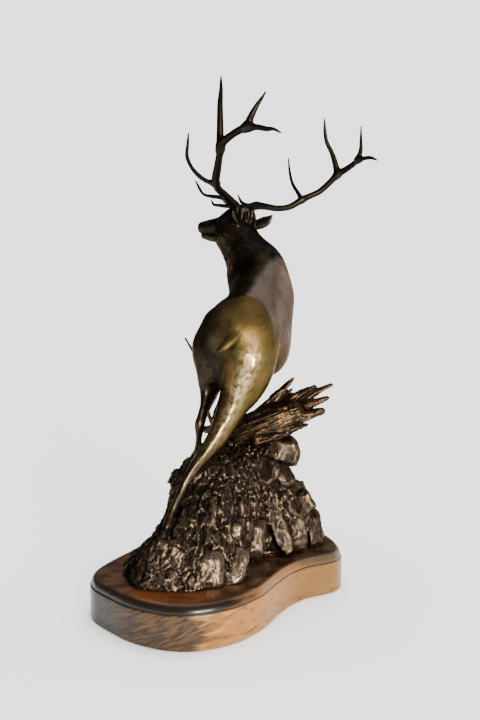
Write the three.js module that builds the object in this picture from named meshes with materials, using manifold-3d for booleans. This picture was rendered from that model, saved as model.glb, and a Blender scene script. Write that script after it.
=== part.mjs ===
// A bull elk in patinated bronze, climbing a splintered log on a rock outcrop, on a hardwood slab.
// Millimetres, +Z up. The origin is the middle of the slab's underside. +X is to the right and
// +Y points away from the front view, which shows the elk from behind with its head turned left.
import * as THREE from "three";
import { LoftGeometry } from "three/addons/geometries/LoftGeometry.js";
import { ConvexGeometry } from "three/addons/geometries/ConvexGeometry.js";
import { mergeVertices } from "three/addons/utils/BufferGeometryUtils.js";
import Module from "manifold-3d";

const wasm = await Module();
wasm.setup();

// Driving dimensions

// The slab is planed from two-inch stock, with a small step under a rounded top edge.
const SLAB_HEIGHT = 51;
const SLAB_STEP_HEIGHT = 40.5;
const SLAB_STEP_DEPTH = 1.4;
const SLAB_STEP_SLOPE = 0.6;
const SLAB_EDGE_STEPS = 3;
const SLAB_EDGE_INSET = 9.5;
const SLAB_FOOT_CHAMFER = 1;
const SLAB_OUTLINE_POINTS = 52;
const SLAB_OUTLINE = [
  [-158, -50], [-151, -70], [-136, -88], [-122, -102], [-107, -116], [-85, -130],
  [-60, -140], [-35, -143], [-10, -138], [9, -129], [26, -117], [40, -102],
  [51, -88], [60, -72], [68, -56], [78, -39], [91, -21], [109, -5],
  [129, 5], [147, 16], [157, 35], [157, 58], [151, 82], [138, 108],
  [112, 131], [78, 145], [40, 150], [0, 149], [-40, 141], [-76, 123],
  [-99, 98], [-109, 70], [-120, 40], [-136, 12], [-150, -15], [-157, -34],
];

// The casting rests on the slab with a hairline joint.
const JOINT_GAP = 0.3;
const ROCK_FOOT = SLAB_HEIGHT + JOINT_GAP;

const UNDERCUT_WIDTH = 500;
const UNDERCUT_DEPTH = 100;

// Contours of the outcrop, each a height and a ring of points, from the left round by the front.
const ROCK_CONTOURS = [
  [ROCK_FOOT, [
    [-121, -13], [-118, -44], [-110, -74], [-98, -95], [-66, -103], [-36, -105],
    [-8, -91], [22, -79], [34, -45], [46, 6], [78, 20], [114, 42],
    [138, 70], [124, 106], [62, 132], [-10, 134], [-72, 110], [-106, 50]]],
  [63, [
    [-108, -12], [-107, -44], [-104, -74], [-93, -95], [-64, -102], [-34, -102],
    [-6, -87], [22, -72], [35, -38], [50, 4], [80, 16], [114, 37],
    [136, 67], [121, 104], [60, 131], [-10, 132], [-66, 105], [-94, 47]]],
  [80, [
    [-86, -14], [-87, -44], [-91, -73], [-83, -94], [-60, -99], [-30, -97],
    [-4, -81], [20, -63], [37, -30], [56, 4], [84, 13], [113, 29],
    [131, 60], [117, 102], [58, 128], [-8, 129], [-57, 99], [-78, 43]]],
  [104, [
    [-72, -16], [-73, -44], [-78, -70], [-72, -90], [-50, -91], [-24, -80],
    [0, -66], [22, -50], [43, -20], [61, 0], [88, 9], [107, 20],
    [117, 48], [104, 94], [54, 125], [-6, 126], [-50, 96], [-68, 38]]],
  [130, [
    [-62, 2], [-62, -22], [-60, -42], [-44, -56], [-26, -60], [-6, -56],
    [14, -44], [34, -28], [53, -8], [71, 3], [86, 9], [96, 22],
    [100, 46], [88, 90], [50, 121], [-4, 123], [-42, 94], [-60, 44]]],
  [155, [
    [-60, 18], [-57, -4], [-48, -20], [-34, -31], [-18, -36], [0, -33],
    [18, -23], [36, -11], [53, 3], [68, 11], [78, 20], [83, 33],
    [83, 52], [74, 84], [44, 115], [0, 119], [-34, 92], [-54, 48]]],
  [175, [
    [-45, 14], [-45, -2], [-39, -13], [-26, -18], [-10, -18], [6, -11],
    [21, -2], [37, 8], [51, 17], [62, 25], [69, 34], [73, 46],
    [71, 62], [60, 88], [36, 112], [8, 117], [-16, 96], [-32, 56]]],
  [192, [
    [-18, 66], [-14, 50], [-8, 40], [0, 32], [10, 28], [20, 28],
    [30, 30], [40, 33], [50, 37], [58, 43], [62, 50], [63, 60],
    [60, 72], [50, 92], [32, 110], [12, 115], [-6, 106], [-16, 88]]],
  [201, [
    [-12, 76], [-8, 64], [0, 54], [8, 48], [16, 46], [24, 46],
    [32, 48], [38, 52], [44, 56], [48, 62], [50, 68], [50, 76],
    [46, 86], [38, 98], [26, 106], [12, 110], [0, 104], [-8, 92]]],
];
const ROCK_POINTS_PER_CONTOUR = 27;
const ROCK_MIDDLE_Y = 20;
const ROCK_ROUGHNESS = 2.4;
// Upright ribs of the rock: the share and the wave lengths along X, Y and Z of each set.
const ROCK_RIBS = [
  [0.5, 61, 74, 190],
  [0.3, 29, 33, 90],
  [0.2, 17, 19, 60],
];

// Slabs and boulders bedded in the outcrop: centre, half sizes, turn about Z, tilts about X and Y.
const BOULDERS = [
  [[-11, -81, 67], [15, 12, 21], 6, -20, 4],
  [[20, -67, 65], [10, 10, 22], -4, -30, 15],
  [[18, -50, 104], [7, 9, 9], 0, -12, 4],
  [[43, -13, 86], [11, 13, 27], 4, -8, 4],
  [[71, 14, 90], [13, 13, 37], 8, -11, -17],
  [[95, 24, 84], [12, 13, 31], 14, -8, -6],
  [[117, 47, 74], [14, 14, 25], 26, -5, -4],
  [[105, 32, 115], [12, 16, 15], 18, -12, -28],
  [[77, 27, 150], [13, 17, 17], 14, -20, -26],
  [[55, 18, 158], [17, 16, 17], -8, -26, 12],
  [[79, 51, 178], [22, 18, 19], 10, 0, -6],
];
// Masses that break up the outline of the rock.
const CRAGS = [
  [[-47, 8, 154], [20, 17, 9], 0, 0, 6],
  [[-56, -82, 86], [22, 16, 15], 6, -10, 0],
  [[-36, -86, 66], [14, 13, 18], -6, -8, 6],
  [[-50, 88, 96], [24, 18, 30], 30, 10, 0],
  [[34, 112, 110], [34, 14, 44], -6, 8, 0],
  [[92, 82, 100], [20, 22, 30], -30, 6, 8],
];
const BOULDER_CORNER_CUT = 0.36;
const BOULDER_CORNER_JITTER = 0.14;
const BOULDER_SIZE_JITTER = 0.06;

// Thin ledge under the left forefoot.
const LEDGE = [[-12, 104, 196], [16, 12, 4], 10, 0, 4];

// The broken log: a leaning butt and the splinters that stand out of its right end.
const LOG_BUTT = [
  [-4, 62, 184, 14, 12],
  [14, 56, 194, 20, 19],
  [42, 52, 208, 25, 22],
  [72, 52, 222, 26, 21],
  [96, 52, 232, 20, 17],
];
const LOG_SPLINTERS = [
  [[44, 62, 220, 15, 10], [70, 62, 247, 10, 7], [93, 62, 274, 2.4, 2]],
  [[60, 60, 230, 12, 8], [82, 60, 250, 6, 5], [92, 61, 259, 2, 2]],
  [[54, 56, 220, 16, 11], [92, 57, 247, 10, 7], [122, 58, 264, 3.4, 3]],
  [[72, 62, 226, 13, 9], [114, 62, 250, 8.5, 6], [144, 63, 265, 3.2, 2.8]],
  [[80, 54, 226, 11, 9], [116, 54, 241, 8, 6], [138, 55, 247, 3.4, 3]],
  [[66, 46, 214, 17, 13], [102, 48, 225, 13, 9], [131, 49, 232, 7, 4.5]],
  [[56, 40, 204, 14, 11], [84, 41, 210, 10, 7], [110, 42, 214, 2.6, 2.4]],
  [[56, 72, 214, 13, 11], [90, 78, 236, 9, 7], [114, 82, 250, 3, 2.6]],
  [[44, 34, 198, 13, 10], [70, 34, 203, 9, 6], [90, 36, 206, 2.4, 2.2]],
];

// A dead twig that stands up from the log behind the left hind leg.
const TWIG = [
  [-2, 66, 190, 4.2, 3.6],
  [-19, 60, 226, 3, 2.8],
  [-23, 56, 262, 2.5, 2.5],
  [-36, 56, 304, 2.2, 2.2],
  [-49, 60, 327, 1.5, 1.5],
];

// The elk. A station is x, y, z, half width, half depth.

const BODY_RIGHT = [0.956, -0.292, 0];
const TORSO = [
  [15, -27, 325, 16, 15],
  [21, -11, 334, 35, 32],
  [34, 22, 340, 44, 45],
  [46, 62, 358, 43, 52],
  [53, 104, 379, 42, 55],
  [56, 142, 400, 38, 56],
  [56, 166, 420, 32, 46],
  [54, 180, 436, 19, 30],
];
const FLANK = [
  [46, 34, 326, 28, 30],
  [55, 60, 316, 33, 41],
  [58, 96, 331, 33, 42],
  [59, 134, 356, 28, 38],
];
const RUMP = [
  [12, 34, 360, 24, 20],
  [7, 10, 345, 30, 27],
  [13, -12, 334, 29, 27],
];
const TAIL = [
  [25, -22, 343, 6, 5],
  [18, -38, 336, 6.4, 5.4],
  [9, -44, 328, 6.2, 5.2],
  [2, -47, 322, 5, 4.4],
  [-3, -47, 319, 2.6, 2.4],
];
const RIGHT_HIND_LEG = [
  [34, 0, 352, 27, 26],
  [37, -4, 322, 33, 33],
  [33, 0, 294, 32, 35],
  [26, 0, 272, 27, 31],
  [17, -5, 254, 20, 25],
  [8, -12, 236, 15.5, 19],
  [-3, -21, 215, 12.3, 15],
  [-13, -28, 201, 10, 12],
  [-24, -34, 187, 8, 10.5],
  [-34, -38, 174, 6.8, 9.5],
  [-43, -44, 159, 5.2, 7],
  [-52, -54, 142, 4.4, 5.4],
  [-59, -63, 126, 4.6, 5.4],
  [-62, -68, 117, 5.6, 6.4],
  [-64, -72, 111, 4.8, 5.6],
];
const LEFT_HIND_LEG = [
  [2, 16, 344, 26, 24],
  [-5, 13, 318, 33, 30],
  [-9, 14, 295, 24, 30],
  [-14, 15, 275, 15, 25],
  [-17, 9, 260, 9.5, 18],
  [-20, -1, 247, 5.4, 12],
  [-24, -9, 234, 5.2, 9],
  [-26.5, -13, 226, 6, 8],
  [-27.5, -11, 212, 4, 5.6],
  [-29, -8, 198, 3.6, 4.6],
  [-31, -6, 188, 4.4, 5],
  [-33, -5, 182, 4, 4.6],
];
const LEFT_FORELEG = [
  [40, 148, 352, 15, 22],
  [30, 140, 318, 11, 14],
  [18, 132, 290, 8.4, 9.5],
  [8, 126, 266, 7.2, 7.6],
  [1, 121, 250, 5.2, 5.6],
  [-5, 115, 230, 4.4, 4.8],
  [-9.5, 111, 217, 5.4, 5.6],
  [-10, 109, 210, 4.6, 5],
];
const RIGHT_FORELEG = [
  [68, 142, 350, 15, 22],
  [56, 134, 316, 11, 14],
  [44, 128, 288, 8.4, 9.5],
  [34, 124, 264, 7.2, 7.6],
  [28, 120, 248, 5.2, 5.6],
  [23, 116, 230, 4.4, 4.8],
  [20, 114, 217, 5.4, 5.6],
  [19, 112, 210, 4.6, 5],
];
// Cloven hooves: ankle point, direction of the toe, sole height.
const HOOF_LENGTH = 17;
const HOOF_HALF_WIDTH = 5.4;
const HOOF_CLEFT = 0.06;
// The side of a toe: shares of the hoof's length, of its height, and of its half width there.
const TOE_PROFILE = [
  [-0.3, 0, 0.85],
  [0.72, 0, 0.5],
  [0.66, 0.22, 0.45],
  [0.2, 1.25, 0.7],
  [-0.3, 1.2, 0.85],
];
const HOOVES = [
  [[-65, -74, 111], [-0.25, 0.95], 100],
  [[-34, -4, 183], [-0.2, 0.97], 172],
  [[-11, 108, 211], [-0.5, 0.86], 199],
  [[19, 111, 211], [0.1, 0.99], 199],
];

const NECK = [
  [48, 148, 380, 40, 44],
  [47, 146, 400, 39, 46],
  [41, 146, 422, 34.5, 42],
  [32.5, 148, 440, 31, 37],
  [22.5, 150, 456, 29, 32],
  [13, 154, 470, 26, 29],
  [17, 157, 485, 18, 20],
];
// Locks of the mane: the heights of their rows, and how each hangs down round the neck. The angle
// runs round the neck from its right side by the front. A radius is that of the root, middle or tip.
const MANE_ROWS = [474, 450, 426];
const MANE_LOCKS_PER_ROW = 7;
const MANE_FIRST_ANGLE = -15;
const MANE_STEP_ANGLE = 35;
const MANE_STAGGER_ANGLE = 17;
const MANE_FALL = 34;
const MANE_DEPTH_SHARES = [0.9, 0.95, 1.02];
const MANE_RADII = [3, 5.5, 1.2];
const HEAD_LEFT = [-0.64, -0.77, 0];
const HEAD = [
  [33, 149, 491, 14, 14],
  [26, 156, 491, 19, 18],
  [14, 165, 488, 17.5, 17.5],
  [-3, 178, 482.5, 13, 13],
  [-20, 190, 481, 10, 10.6],
  [-32, 198, 480, 9.2, 9],
];
const JAW = [
  [20, 158, 472, 14, 16],
  [5, 169, 467.5, 11, 11.5],
  [-14, 184, 465.5, 8, 7.5],
  [-30, 195, 468, 6, 4.6],
];
// What closes the mouth between the lips.
const MUZZLE = [
  [18, 160, 481, 16, 15],
  [4, 172, 478, 13, 12],
  [-9, 182, 475, 10, 9.5],
  [-20, 189.5, 474, 8, 8],
  [-28, 195, 474, 6.5, 5],
];
const EYES = [
  [[-6, 163, 489.5, 3.2, 2.6], [-8, 164.5, 489, 3.2, 2.6]],
  [[12, 185.5, 489.5, 3.2, 2.6], [10, 187, 489, 3.2, 2.6]],
];
const EAR_ACROSS = [-0.3, 0.3, 0.9];
const RIGHT_EAR = [
  [40, 152, 479, 4.8, 3.8],
  [51, 148, 482, 8, 3.6],
  [61, 145, 486.5, 7, 2.8],
  [68.5, 143, 493.5, 1.2, 1.2],
];
const LEFT_EAR = [
  [24, 140, 482, 4.6, 3.6],
  [19, 130, 485, 7, 3.4],
  [15, 121, 490, 6.4, 2.6],
  [13, 114, 497, 1.2, 1.2],
];

// Locks of the poll, hanging side by side behind the antlers. The middle of the row stands out by
// the bow, and each lock sways and shortens a little.
const POLL_LEFT = [12, 136, 503];
const POLL_RIGHT = [41, 140, 501];
const POLL_BOW = [0, -3, 2];
const POLL_FALL = [2, -4, -30];
const POLL_TAPER = [-8, 5, 0];
const POLL_LOCKS = 9;
const POLL_SWAY = 2.4;
const POLL_RADII = [2.8, 3.2, 2.5, 0.9];

// Antlers: x, y, z, radius, from the root to the tip.
const LEFT_BEAM = [
  [23, 140, 499, 6], [17, 137, 506, 6], [11, 127, 511, 5.5], [3, 108, 517, 5], [-6, 75, 522, 5],
  [-8, 50, 529, 5.5], [-5, 30, 541, 5], [-2, 14, 554, 4.5], [1, 4, 566, 5.5], [10, -6, 572, 4.5],
  [21, -12, 578, 4.5], [34, -18, 582, 5],
];
const LEFT_TINES = {
  brow: [
    [15, 140, 506, 3.5], [3, 152, 507, 3], [-7, 162, 509, 2.5], [-15, 169, 511, 2],
    [-18, 173, 518, 1],
  ],
  bez: [
    [8, 125, 513, 3.5], [-6, 132, 517, 3], [-19, 136, 519, 2.5], [-28, 139, 522, 2],
    [-34, 141, 531, 2], [-39, 142, 541, 1],
  ],
  trez: [
    [-7, 60, 526, 4], [-18, 56, 528, 3], [-30, 58, 536, 3], [-40, 60, 548, 2.5],
    [-45, 61, 561, 2.5], [-44, 62, 576, 2], [-43, 63, 590, 1],
  ],
  royal: [
    [-1, 10, 560, 5], [-1, 8, 576, 4.5], [-1, 8, 595, 4], [-1, 10, 614, 3.5], [0, 13, 631, 2.5],
    [0, 16, 648, 1],
  ],
  forkUpper: [
    [30, -16, 581, 4.5], [36, -20, 593, 4], [42, -21, 604, 3], [48, -20, 613, 2],
    [53, -19, 621, 1],
  ],
  forkRear: [
    [30, -16, 581, 4.5], [43, -23, 580, 3.5], [54, -28, 577, 3], [62, -32, 576, 2],
    [70, -36, 571, 1],
  ],
};
const RIGHT_BEAM = [
  [33, 157, 499, 6], [36, 162, 505, 6], [46, 169, 509, 6], [58, 177, 509, 5], [77, 186, 507, 4.5],
  [96, 193, 510, 4.5], [113, 198, 520, 5], [125, 201, 526, 4.5], [140, 204, 533, 4.5],
  [154, 203, 545, 4.5], [166, 201, 557, 5], [178, 193, 564, 4.5], [186, 182, 569, 4],
  [192, 167, 574, 4],
];
const RIGHT_TINES = {
  brow: [
    [39, 165, 507, 3], [29, 178, 509, 2.5], [17, 184, 512, 2], [1, 188, 516, 1.5],
    [-5, 188, 524, 1],
  ],
  bez: [
    [46, 170, 510, 3.5], [34, 190, 512, 3], [26, 203, 517, 2.5], [23, 210, 522, 2],
    [20, 213, 530, 1],
  ],
  trez: [
    [114, 198, 520, 4], [110, 211, 531, 3], [102, 220, 546, 2.5], [98, 227, 564, 2],
    [96, 231, 586, 1],
  ],
  royal: [
    [166, 200, 555, 4.5], [164, 200, 568, 4.5], [158, 201, 588, 3.5], [150, 201, 604, 3],
    [147, 200, 620, 2.5], [146, 198, 637, 1],
  ],
  forkUpper: [
    [191, 170, 574, 4], [194, 164, 586, 3], [193, 157, 600, 2], [192, 151, 616, 1],
  ],
  forkRear: [
    [191, 170, 573, 3.5], [198, 160, 574, 3], [206, 148, 573, 2.5], [213, 138, 568, 1],
  ],
};

// Shape helpers

const DOME_ANGLES = [70, 35];
const RANDOM_MULTIPLIER = 16807;
const RANDOM_MODULUS = 2 ** 31 - 1;

const point = (p) => new THREE.Vector3(p[0], p[1], p[2]);

// Repeatable numbers between -1 and 1.
function randomFrom(seed) {
  let state = 7919 * seed + 17;
  return () => {
    state = (state * RANDOM_MULTIPLIER) % RANDOM_MODULUS;
    return (2 * state) / RANDOM_MODULUS - 1;
  };
}

// A closed solid from a geometry, with its shared vertices merged.
function toSolid(geometry) {
  const bare = geometry.index ? geometry.toNonIndexed() : geometry.clone();
  bare.deleteAttribute("normal");
  bare.deleteAttribute("uv");
  const merged = mergeVertices(bare, 1e-4);
  return new wasm.Manifold(
    new wasm.Mesh({
      numProp: 3,
      vertProperties: merged.attributes.position.array,
      triVerts: new Uint32Array(merged.index.array),
    }),
  );
}

function toGeometry(solid) {
  const mesh = solid.getMesh();
  const geometry = new THREE.BufferGeometry();
  geometry.setAttribute("position", new THREE.BufferAttribute(mesh.vertProperties, 3));
  geometry.setIndex(new THREE.BufferAttribute(mesh.triVerts, 1));
  geometry.computeVertexNormals();
  return geometry;
}

function ring(centre, side, depth, halfWidth, halfDepth, sides) {
  const points = [];
  for (let i = 0; i < sides; i += 1) {
    const angle = (2 * Math.PI * i) / sides;
    points.push(
      centre.clone()
        .addScaledVector(side, halfWidth * Math.cos(angle))
        .addScaledVector(depth, halfDepth * Math.sin(angle)),
    );
  }
  return points;
}

// A body swept through stations, with elliptical sections and domed ends. Its sections keep
// their width along the given direction, or roll as little as possible where none is given.
function sweep(stations, { sides = 10, across = null, perSpan = 2, dome = 0.7 } = {}) {
  const domeAngles = (dome > 0 ? DOME_ANGLES : []).map(THREE.MathUtils.degToRad);
  const curve = new THREE.CatmullRomCurve3(stations.map(point), false, "centripetal");
  const spans = stations.length - 1;
  const count = spans * perSpan;
  const frames = curve.computeFrenetFrames(count, false);
  const sizeAt = (t, field) => {
    const index = Math.min(Math.floor(t * spans), spans - 1);
    const local = t * spans - index;
    const value = (k) => stations[Math.min(Math.max(k, 0), spans)][field];
    return THREE.MathUtils.lerp(value(index), value(index + 1), local);
  };
  const sectionAt = (t, frame, scale, offset) => {
    const tangent = curve.getTangent(t);
    const side = across ? point(across) : frames.normals[frame].clone();
    side.addScaledVector(tangent, -side.dot(tangent)).normalize();
    const depth = new THREE.Vector3().crossVectors(tangent, side);
    const centre = curve.getPoint(t).addScaledVector(tangent, offset);
    const round = stations[0].length < 5;
    const halfWidth = sizeAt(t, 3) * scale;
    const halfDepth = sizeAt(t, round ? 3 : 4) * scale;
    return ring(centre, side, depth, halfWidth, halfDepth, sides);
  };
  const startReach = dome * Math.min(stations[0][3], stations[0][4] ?? stations[0][3]);
  const last = stations[spans];
  const endReach = dome * Math.min(last[3], last[4] ?? last[3]);
  const sections = [];
  for (const angle of domeAngles) {
    sections.push(sectionAt(0, 0, Math.cos(angle), -startReach * Math.sin(angle)));
  }
  for (let i = 0; i <= count; i += 1) {
    sections.push(sectionAt(i / count, i, 1, 0));
  }
  for (const angle of [...domeAngles].reverse()) {
    sections.push(sectionAt(1, count, Math.cos(angle), endReach * Math.sin(angle)));
  }
  return toSolid(new LoftGeometry(sections, { capStart: true, capEnd: true }));
}

// How far the ribs of the rock stand out at a point, between -1 and 1.
function ribs(x, y, z) {
  const waves = ROCK_RIBS.map(([share, alongX, alongY, alongZ]) => {
    const turn = 2 * Math.PI;
    return share * Math.sin(turn * (x / alongX + z / alongZ)) * Math.cos((turn * y) / alongY);
  });
  return waves.reduce((total, wave) => total + wave, 0);
}

// A closed ring of evenly spread points on a smooth curve through the given ones.
function smoothRing(outline, count) {
  const curve = new THREE.CatmullRomCurve3(
    outline.map(([x, y]) => new THREE.Vector3(x, y, 0)), true, "centripetal",
  );
  return curve.getSpacedPoints(count).slice(0, count);
}

function outcrop() {
  const sections = ROCK_CONTOURS.map(([height, outline]) => {
    const curve = new THREE.CatmullRomCurve3(
      outline.map(([x, y]) => new THREE.Vector3(x, y, height)), true, "centripetal",
    );
    return curve.getPoints(ROCK_POINTS_PER_CONTOUR).slice(0, ROCK_POINTS_PER_CONTOUR).map((p) => {
      const bump = ROCK_ROUGHNESS * ribs(p.x, p.y, p.z);
      const outward = new THREE.Vector3(p.x, p.y - ROCK_MIDDLE_Y, 0).normalize();
      return p.addScaledVector(outward, bump);
    });
  });
  return toSolid(new LoftGeometry(sections, { capStart: true, capEnd: true }));
}

// A block with cut and weathered corners.
function boulder([centre, half, turn, tiltX, tiltY], seed) {
  const rotation = new THREE.Euler(
    THREE.MathUtils.degToRad(tiltX), THREE.MathUtils.degToRad(tiltY),
    THREE.MathUtils.degToRad(turn), "ZYX",
  );
  const points = [];
  const random = randomFrom(seed);
  for (const sx of [-1, 1]) {
    for (const sy of [-1, 1]) {
      for (const sz of [-1, 1]) {
        for (let axis = 0; axis < 3; axis += 1) {
          const corner = [sx, sy, sz].map((sign, k) => {
            const cut = k === axis ? 0 : BOULDER_CORNER_CUT + BOULDER_CORNER_JITTER * random();
            return sign * half[k] * (1 - cut) * (1 + BOULDER_SIZE_JITTER * random());
          });
          points.push(point(corner).applyEuler(rotation).add(point(centre)));
        }
      }
    }
  }
  return toSolid(new ConvexGeometry(points));
}

// A cloven hoof: two toes side by side, flat underneath, sloping down to the front.
function hoof([ankle, direction, sole]) {
  const forward = new THREE.Vector3(direction[0], direction[1], 0).normalize();
  const side = new THREE.Vector3(forward.y, -forward.x, 0);
  const rise = ankle[2] - sole;
  const toes = [];
  for (const hand of [-1, 1]) {
    const points = [];
    for (const [along, up, width] of TOE_PROFILE) {
      for (const edge of [HOOF_CLEFT, width]) {
        points.push(
          point(ankle).setZ(sole + up * rise)
            .addScaledVector(forward, along * HOOF_LENGTH)
            .addScaledVector(side, hand * edge * HOOF_HALF_WIDTH),
        );
      }
    }
    toes.push(toSolid(new ConvexGeometry(points)));
  }
  return toes;
}

// A point inside or on the neck, at a height and an angle round it.
function placeOnNeck(height, degrees, depthShare) {
  const above = Math.max(1, NECK.findIndex((station) => station[2] >= height));
  const [low, high] = [NECK[above - 1], NECK[above]];
  const share = (height - low[2]) / (high[2] - low[2]);
  const [x, y, , halfWidth, halfDepth] = low.map((v, k) => THREE.MathUtils.lerp(v, high[k], share));
  const angle = THREE.MathUtils.degToRad(degrees);
  const right = point(BODY_RIGHT);
  const front = new THREE.Vector3(-right.y, right.x, 0);
  return new THREE.Vector3(x, y, height)
    .addScaledVector(right, halfWidth * depthShare * Math.cos(angle))
    .addScaledVector(front, halfDepth * depthShare * Math.sin(angle));
}

// Rows of tapering locks round the front of the neck, each row staggered with the one above.
function maneLocks() {
  const locks = [];
  MANE_ROWS.forEach((top, row) => {
    for (let k = 0; k < MANE_LOCKS_PER_ROW; k += 1) {
      const angle = MANE_FIRST_ANGLE + MANE_STEP_ANGLE * k + MANE_STAGGER_ANGLE * (row % 2);
      const stations = MANE_RADII.map((radius, i) => {
        const height = top - (MANE_FALL * i) / (MANE_RADII.length - 1);
        return [...placeOnNeck(height, angle, MANE_DEPTH_SHARES[i]).toArray(), radius];
      });
      locks.push(sweep(stations, { sides: 4, perSpan: 1, dome: 0 }));
    }
  });
  return locks;
}

function pollLocks() {
  const locks = [];
  for (let k = 0; k < POLL_LOCKS; k += 1) {
    const share = k / (POLL_LOCKS - 1);
    const root = point(POLL_LEFT).lerp(point(POLL_RIGHT), share);
    root.addScaledVector(point(POLL_BOW), Math.sin(Math.PI * share));
    const length = 0.95 + 0.12 * Math.cos(1.7 * k);
    const fall = point(POLL_FALL).addScaledVector(point(POLL_TAPER), share).multiplyScalar(length);
    const sway = POLL_SWAY * Math.sin(2.4 * k);
    const stations = POLL_RADII.map((radius, i) => {
      const down = i / (POLL_RADII.length - 1);
      const place = root.clone().addScaledVector(fall, down);
      place.x += sway * Math.sin(Math.PI * down);
      return [...place.toArray(), radius];
    });
    locks.push(sweep(stations, { sides: 4, perSpan: 1, dome: 0 }));
  }
  return locks;
}

function slab() {
  const outline = smoothRing(SLAB_OUTLINE, SLAB_OUTLINE_POINTS);
  const inward = outline.map((p, i) => {
    const before = outline[(i + SLAB_OUTLINE_POINTS - 1) % SLAB_OUTLINE_POINTS];
    const after = outline[(i + 1) % SLAB_OUTLINE_POINTS];
    return new THREE.Vector3(before.y - after.y, after.x - before.x, 0).normalize();
  });
  const profile = [
    [SLAB_FOOT_CHAMFER, 0],
    [0, SLAB_FOOT_CHAMFER],
    [0, SLAB_STEP_HEIGHT - SLAB_STEP_SLOPE],
  ];
  for (let k = 0; k <= SLAB_EDGE_STEPS; k += 1) {
    const angle = (Math.PI / 2) * (k / SLAB_EDGE_STEPS);
    profile.push([
      SLAB_STEP_DEPTH + (SLAB_EDGE_INSET - SLAB_STEP_DEPTH) * (1 - Math.cos(angle)),
      SLAB_STEP_HEIGHT + (SLAB_HEIGHT - SLAB_STEP_HEIGHT) * Math.sin(angle),
    ]);
  }
  const sections = profile.map(([inset, height]) =>
    outline.map((p, i) => p.clone().setZ(height).addScaledVector(inward[i], inset)));
  return toSolid(new LoftGeometry(sections, { capStart: true, capEnd: true }));
}

// The casting

const rockParts = [
  outcrop(),
  ...[...BOULDERS, ...CRAGS, LEDGE].map((block, i) => boulder(block, i + 1)),
  sweep(LOG_BUTT, { sides: 9, perSpan: 1 }),
  ...LOG_SPLINTERS.map((splinter) => sweep(splinter, { sides: 6, perSpan: 1, dome: 0 })),
  sweep(TWIG, { sides: 5, perSpan: 1, dome: 0 }),
];

const bodyOptions = { sides: 14, across: BODY_RIGHT };
const legOptions = { sides: 8, across: BODY_RIGHT, perSpan: 1 };
const earOptions = { sides: 8, across: EAR_ACROSS, perSpan: 1, dome: 0 };
const elkParts = [
  sweep(TORSO, bodyOptions),
  sweep(FLANK, { ...bodyOptions, perSpan: 1 }),
  sweep(RUMP, { ...bodyOptions, perSpan: 1 }),
  sweep(TAIL, { sides: 6, across: BODY_RIGHT, perSpan: 1 }),
  sweep(RIGHT_HIND_LEG, { ...legOptions, sides: 11 }),
  sweep(LEFT_HIND_LEG, legOptions),
  sweep(LEFT_FORELEG, legOptions),
  sweep(RIGHT_FORELEG, legOptions),
  ...HOOVES.flatMap(hoof),
  sweep(NECK, { ...bodyOptions, sides: 12, perSpan: 1 }),
  ...maneLocks(),
  sweep(HEAD, { sides: 9, across: HEAD_LEFT, perSpan: 1 }),
  sweep(MUZZLE, { sides: 8, across: HEAD_LEFT, perSpan: 1 }),
  sweep(JAW, { sides: 9, across: HEAD_LEFT, perSpan: 1 }),
  ...EYES.map((eye) => sweep(eye, { sides: 6, across: HEAD_LEFT, perSpan: 1 })),
  sweep(RIGHT_EAR, earOptions),
  sweep(LEFT_EAR, earOptions),
  ...pollLocks(),
];

const tines = [...Object.values(LEFT_TINES), ...Object.values(RIGHT_TINES)];
const antlerParts = [
  ...[LEFT_BEAM, RIGHT_BEAM].map((beam) => sweep(beam, { sides: 6, perSpan: 1, dome: 0 })),
  ...tines.map((tine) => sweep(tine, { sides: 5, perSpan: 1, dome: 0 })),
];

// Everything below the joint with the slab is cut away flat.
const below = new THREE.BoxGeometry(UNDERCUT_WIDTH, UNDERCUT_WIDTH, UNDERCUT_DEPTH)
  .translate(0, 0, ROCK_FOOT - UNDERCUT_DEPTH / 2);
const casting = [...rockParts, ...elkParts, ...antlerParts]
  .reduce((whole, part) => whole.add(part))
  .subtract(toSolid(below));

// The assembly

const bronze = new THREE.MeshStandardMaterial({ color: 0x5a4a2c, roughness: 0.35, metalness: 0.9 });
const hardwood = new THREE.MeshStandardMaterial({ color: 0x8a5a33, roughness: 0.3, metalness: 0 });

const sculpture = new THREE.Group();
const slabMesh = new THREE.Mesh(toGeometry(slab()), hardwood);
slabMesh.name = "hardwood_slab";
const castingMesh = new THREE.Mesh(toGeometry(casting), bronze);
castingMesh.name = "bronze_elk_on_rock";
sculpture.add(slabMesh, castingMesh);

export default sculpture;
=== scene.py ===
"""A bull elk in patinated bronze, climbing a splintered log on a rock outcrop, on a hardwood slab.

Tables are in millimetres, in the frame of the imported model, and meshes are made in metres.
The bronze is modelled as a distance field, meshed, and then carved along its surface.
"""

import math

import bmesh
import bpy
import numpy as np
import openvdb
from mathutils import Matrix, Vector


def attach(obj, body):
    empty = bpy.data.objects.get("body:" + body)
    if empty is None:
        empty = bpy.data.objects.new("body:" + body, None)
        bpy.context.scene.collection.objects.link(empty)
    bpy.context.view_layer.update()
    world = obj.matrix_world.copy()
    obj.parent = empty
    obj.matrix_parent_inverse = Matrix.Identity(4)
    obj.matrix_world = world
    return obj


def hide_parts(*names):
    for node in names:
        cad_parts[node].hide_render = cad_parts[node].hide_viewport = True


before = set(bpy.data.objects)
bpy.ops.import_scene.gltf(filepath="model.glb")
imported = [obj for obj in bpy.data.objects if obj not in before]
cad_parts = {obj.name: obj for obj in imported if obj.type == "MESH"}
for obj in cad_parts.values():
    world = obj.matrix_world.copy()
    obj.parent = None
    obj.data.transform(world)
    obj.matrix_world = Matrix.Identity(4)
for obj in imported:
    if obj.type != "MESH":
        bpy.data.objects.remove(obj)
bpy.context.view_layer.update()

MILLIMETRE = 0.001

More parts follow.
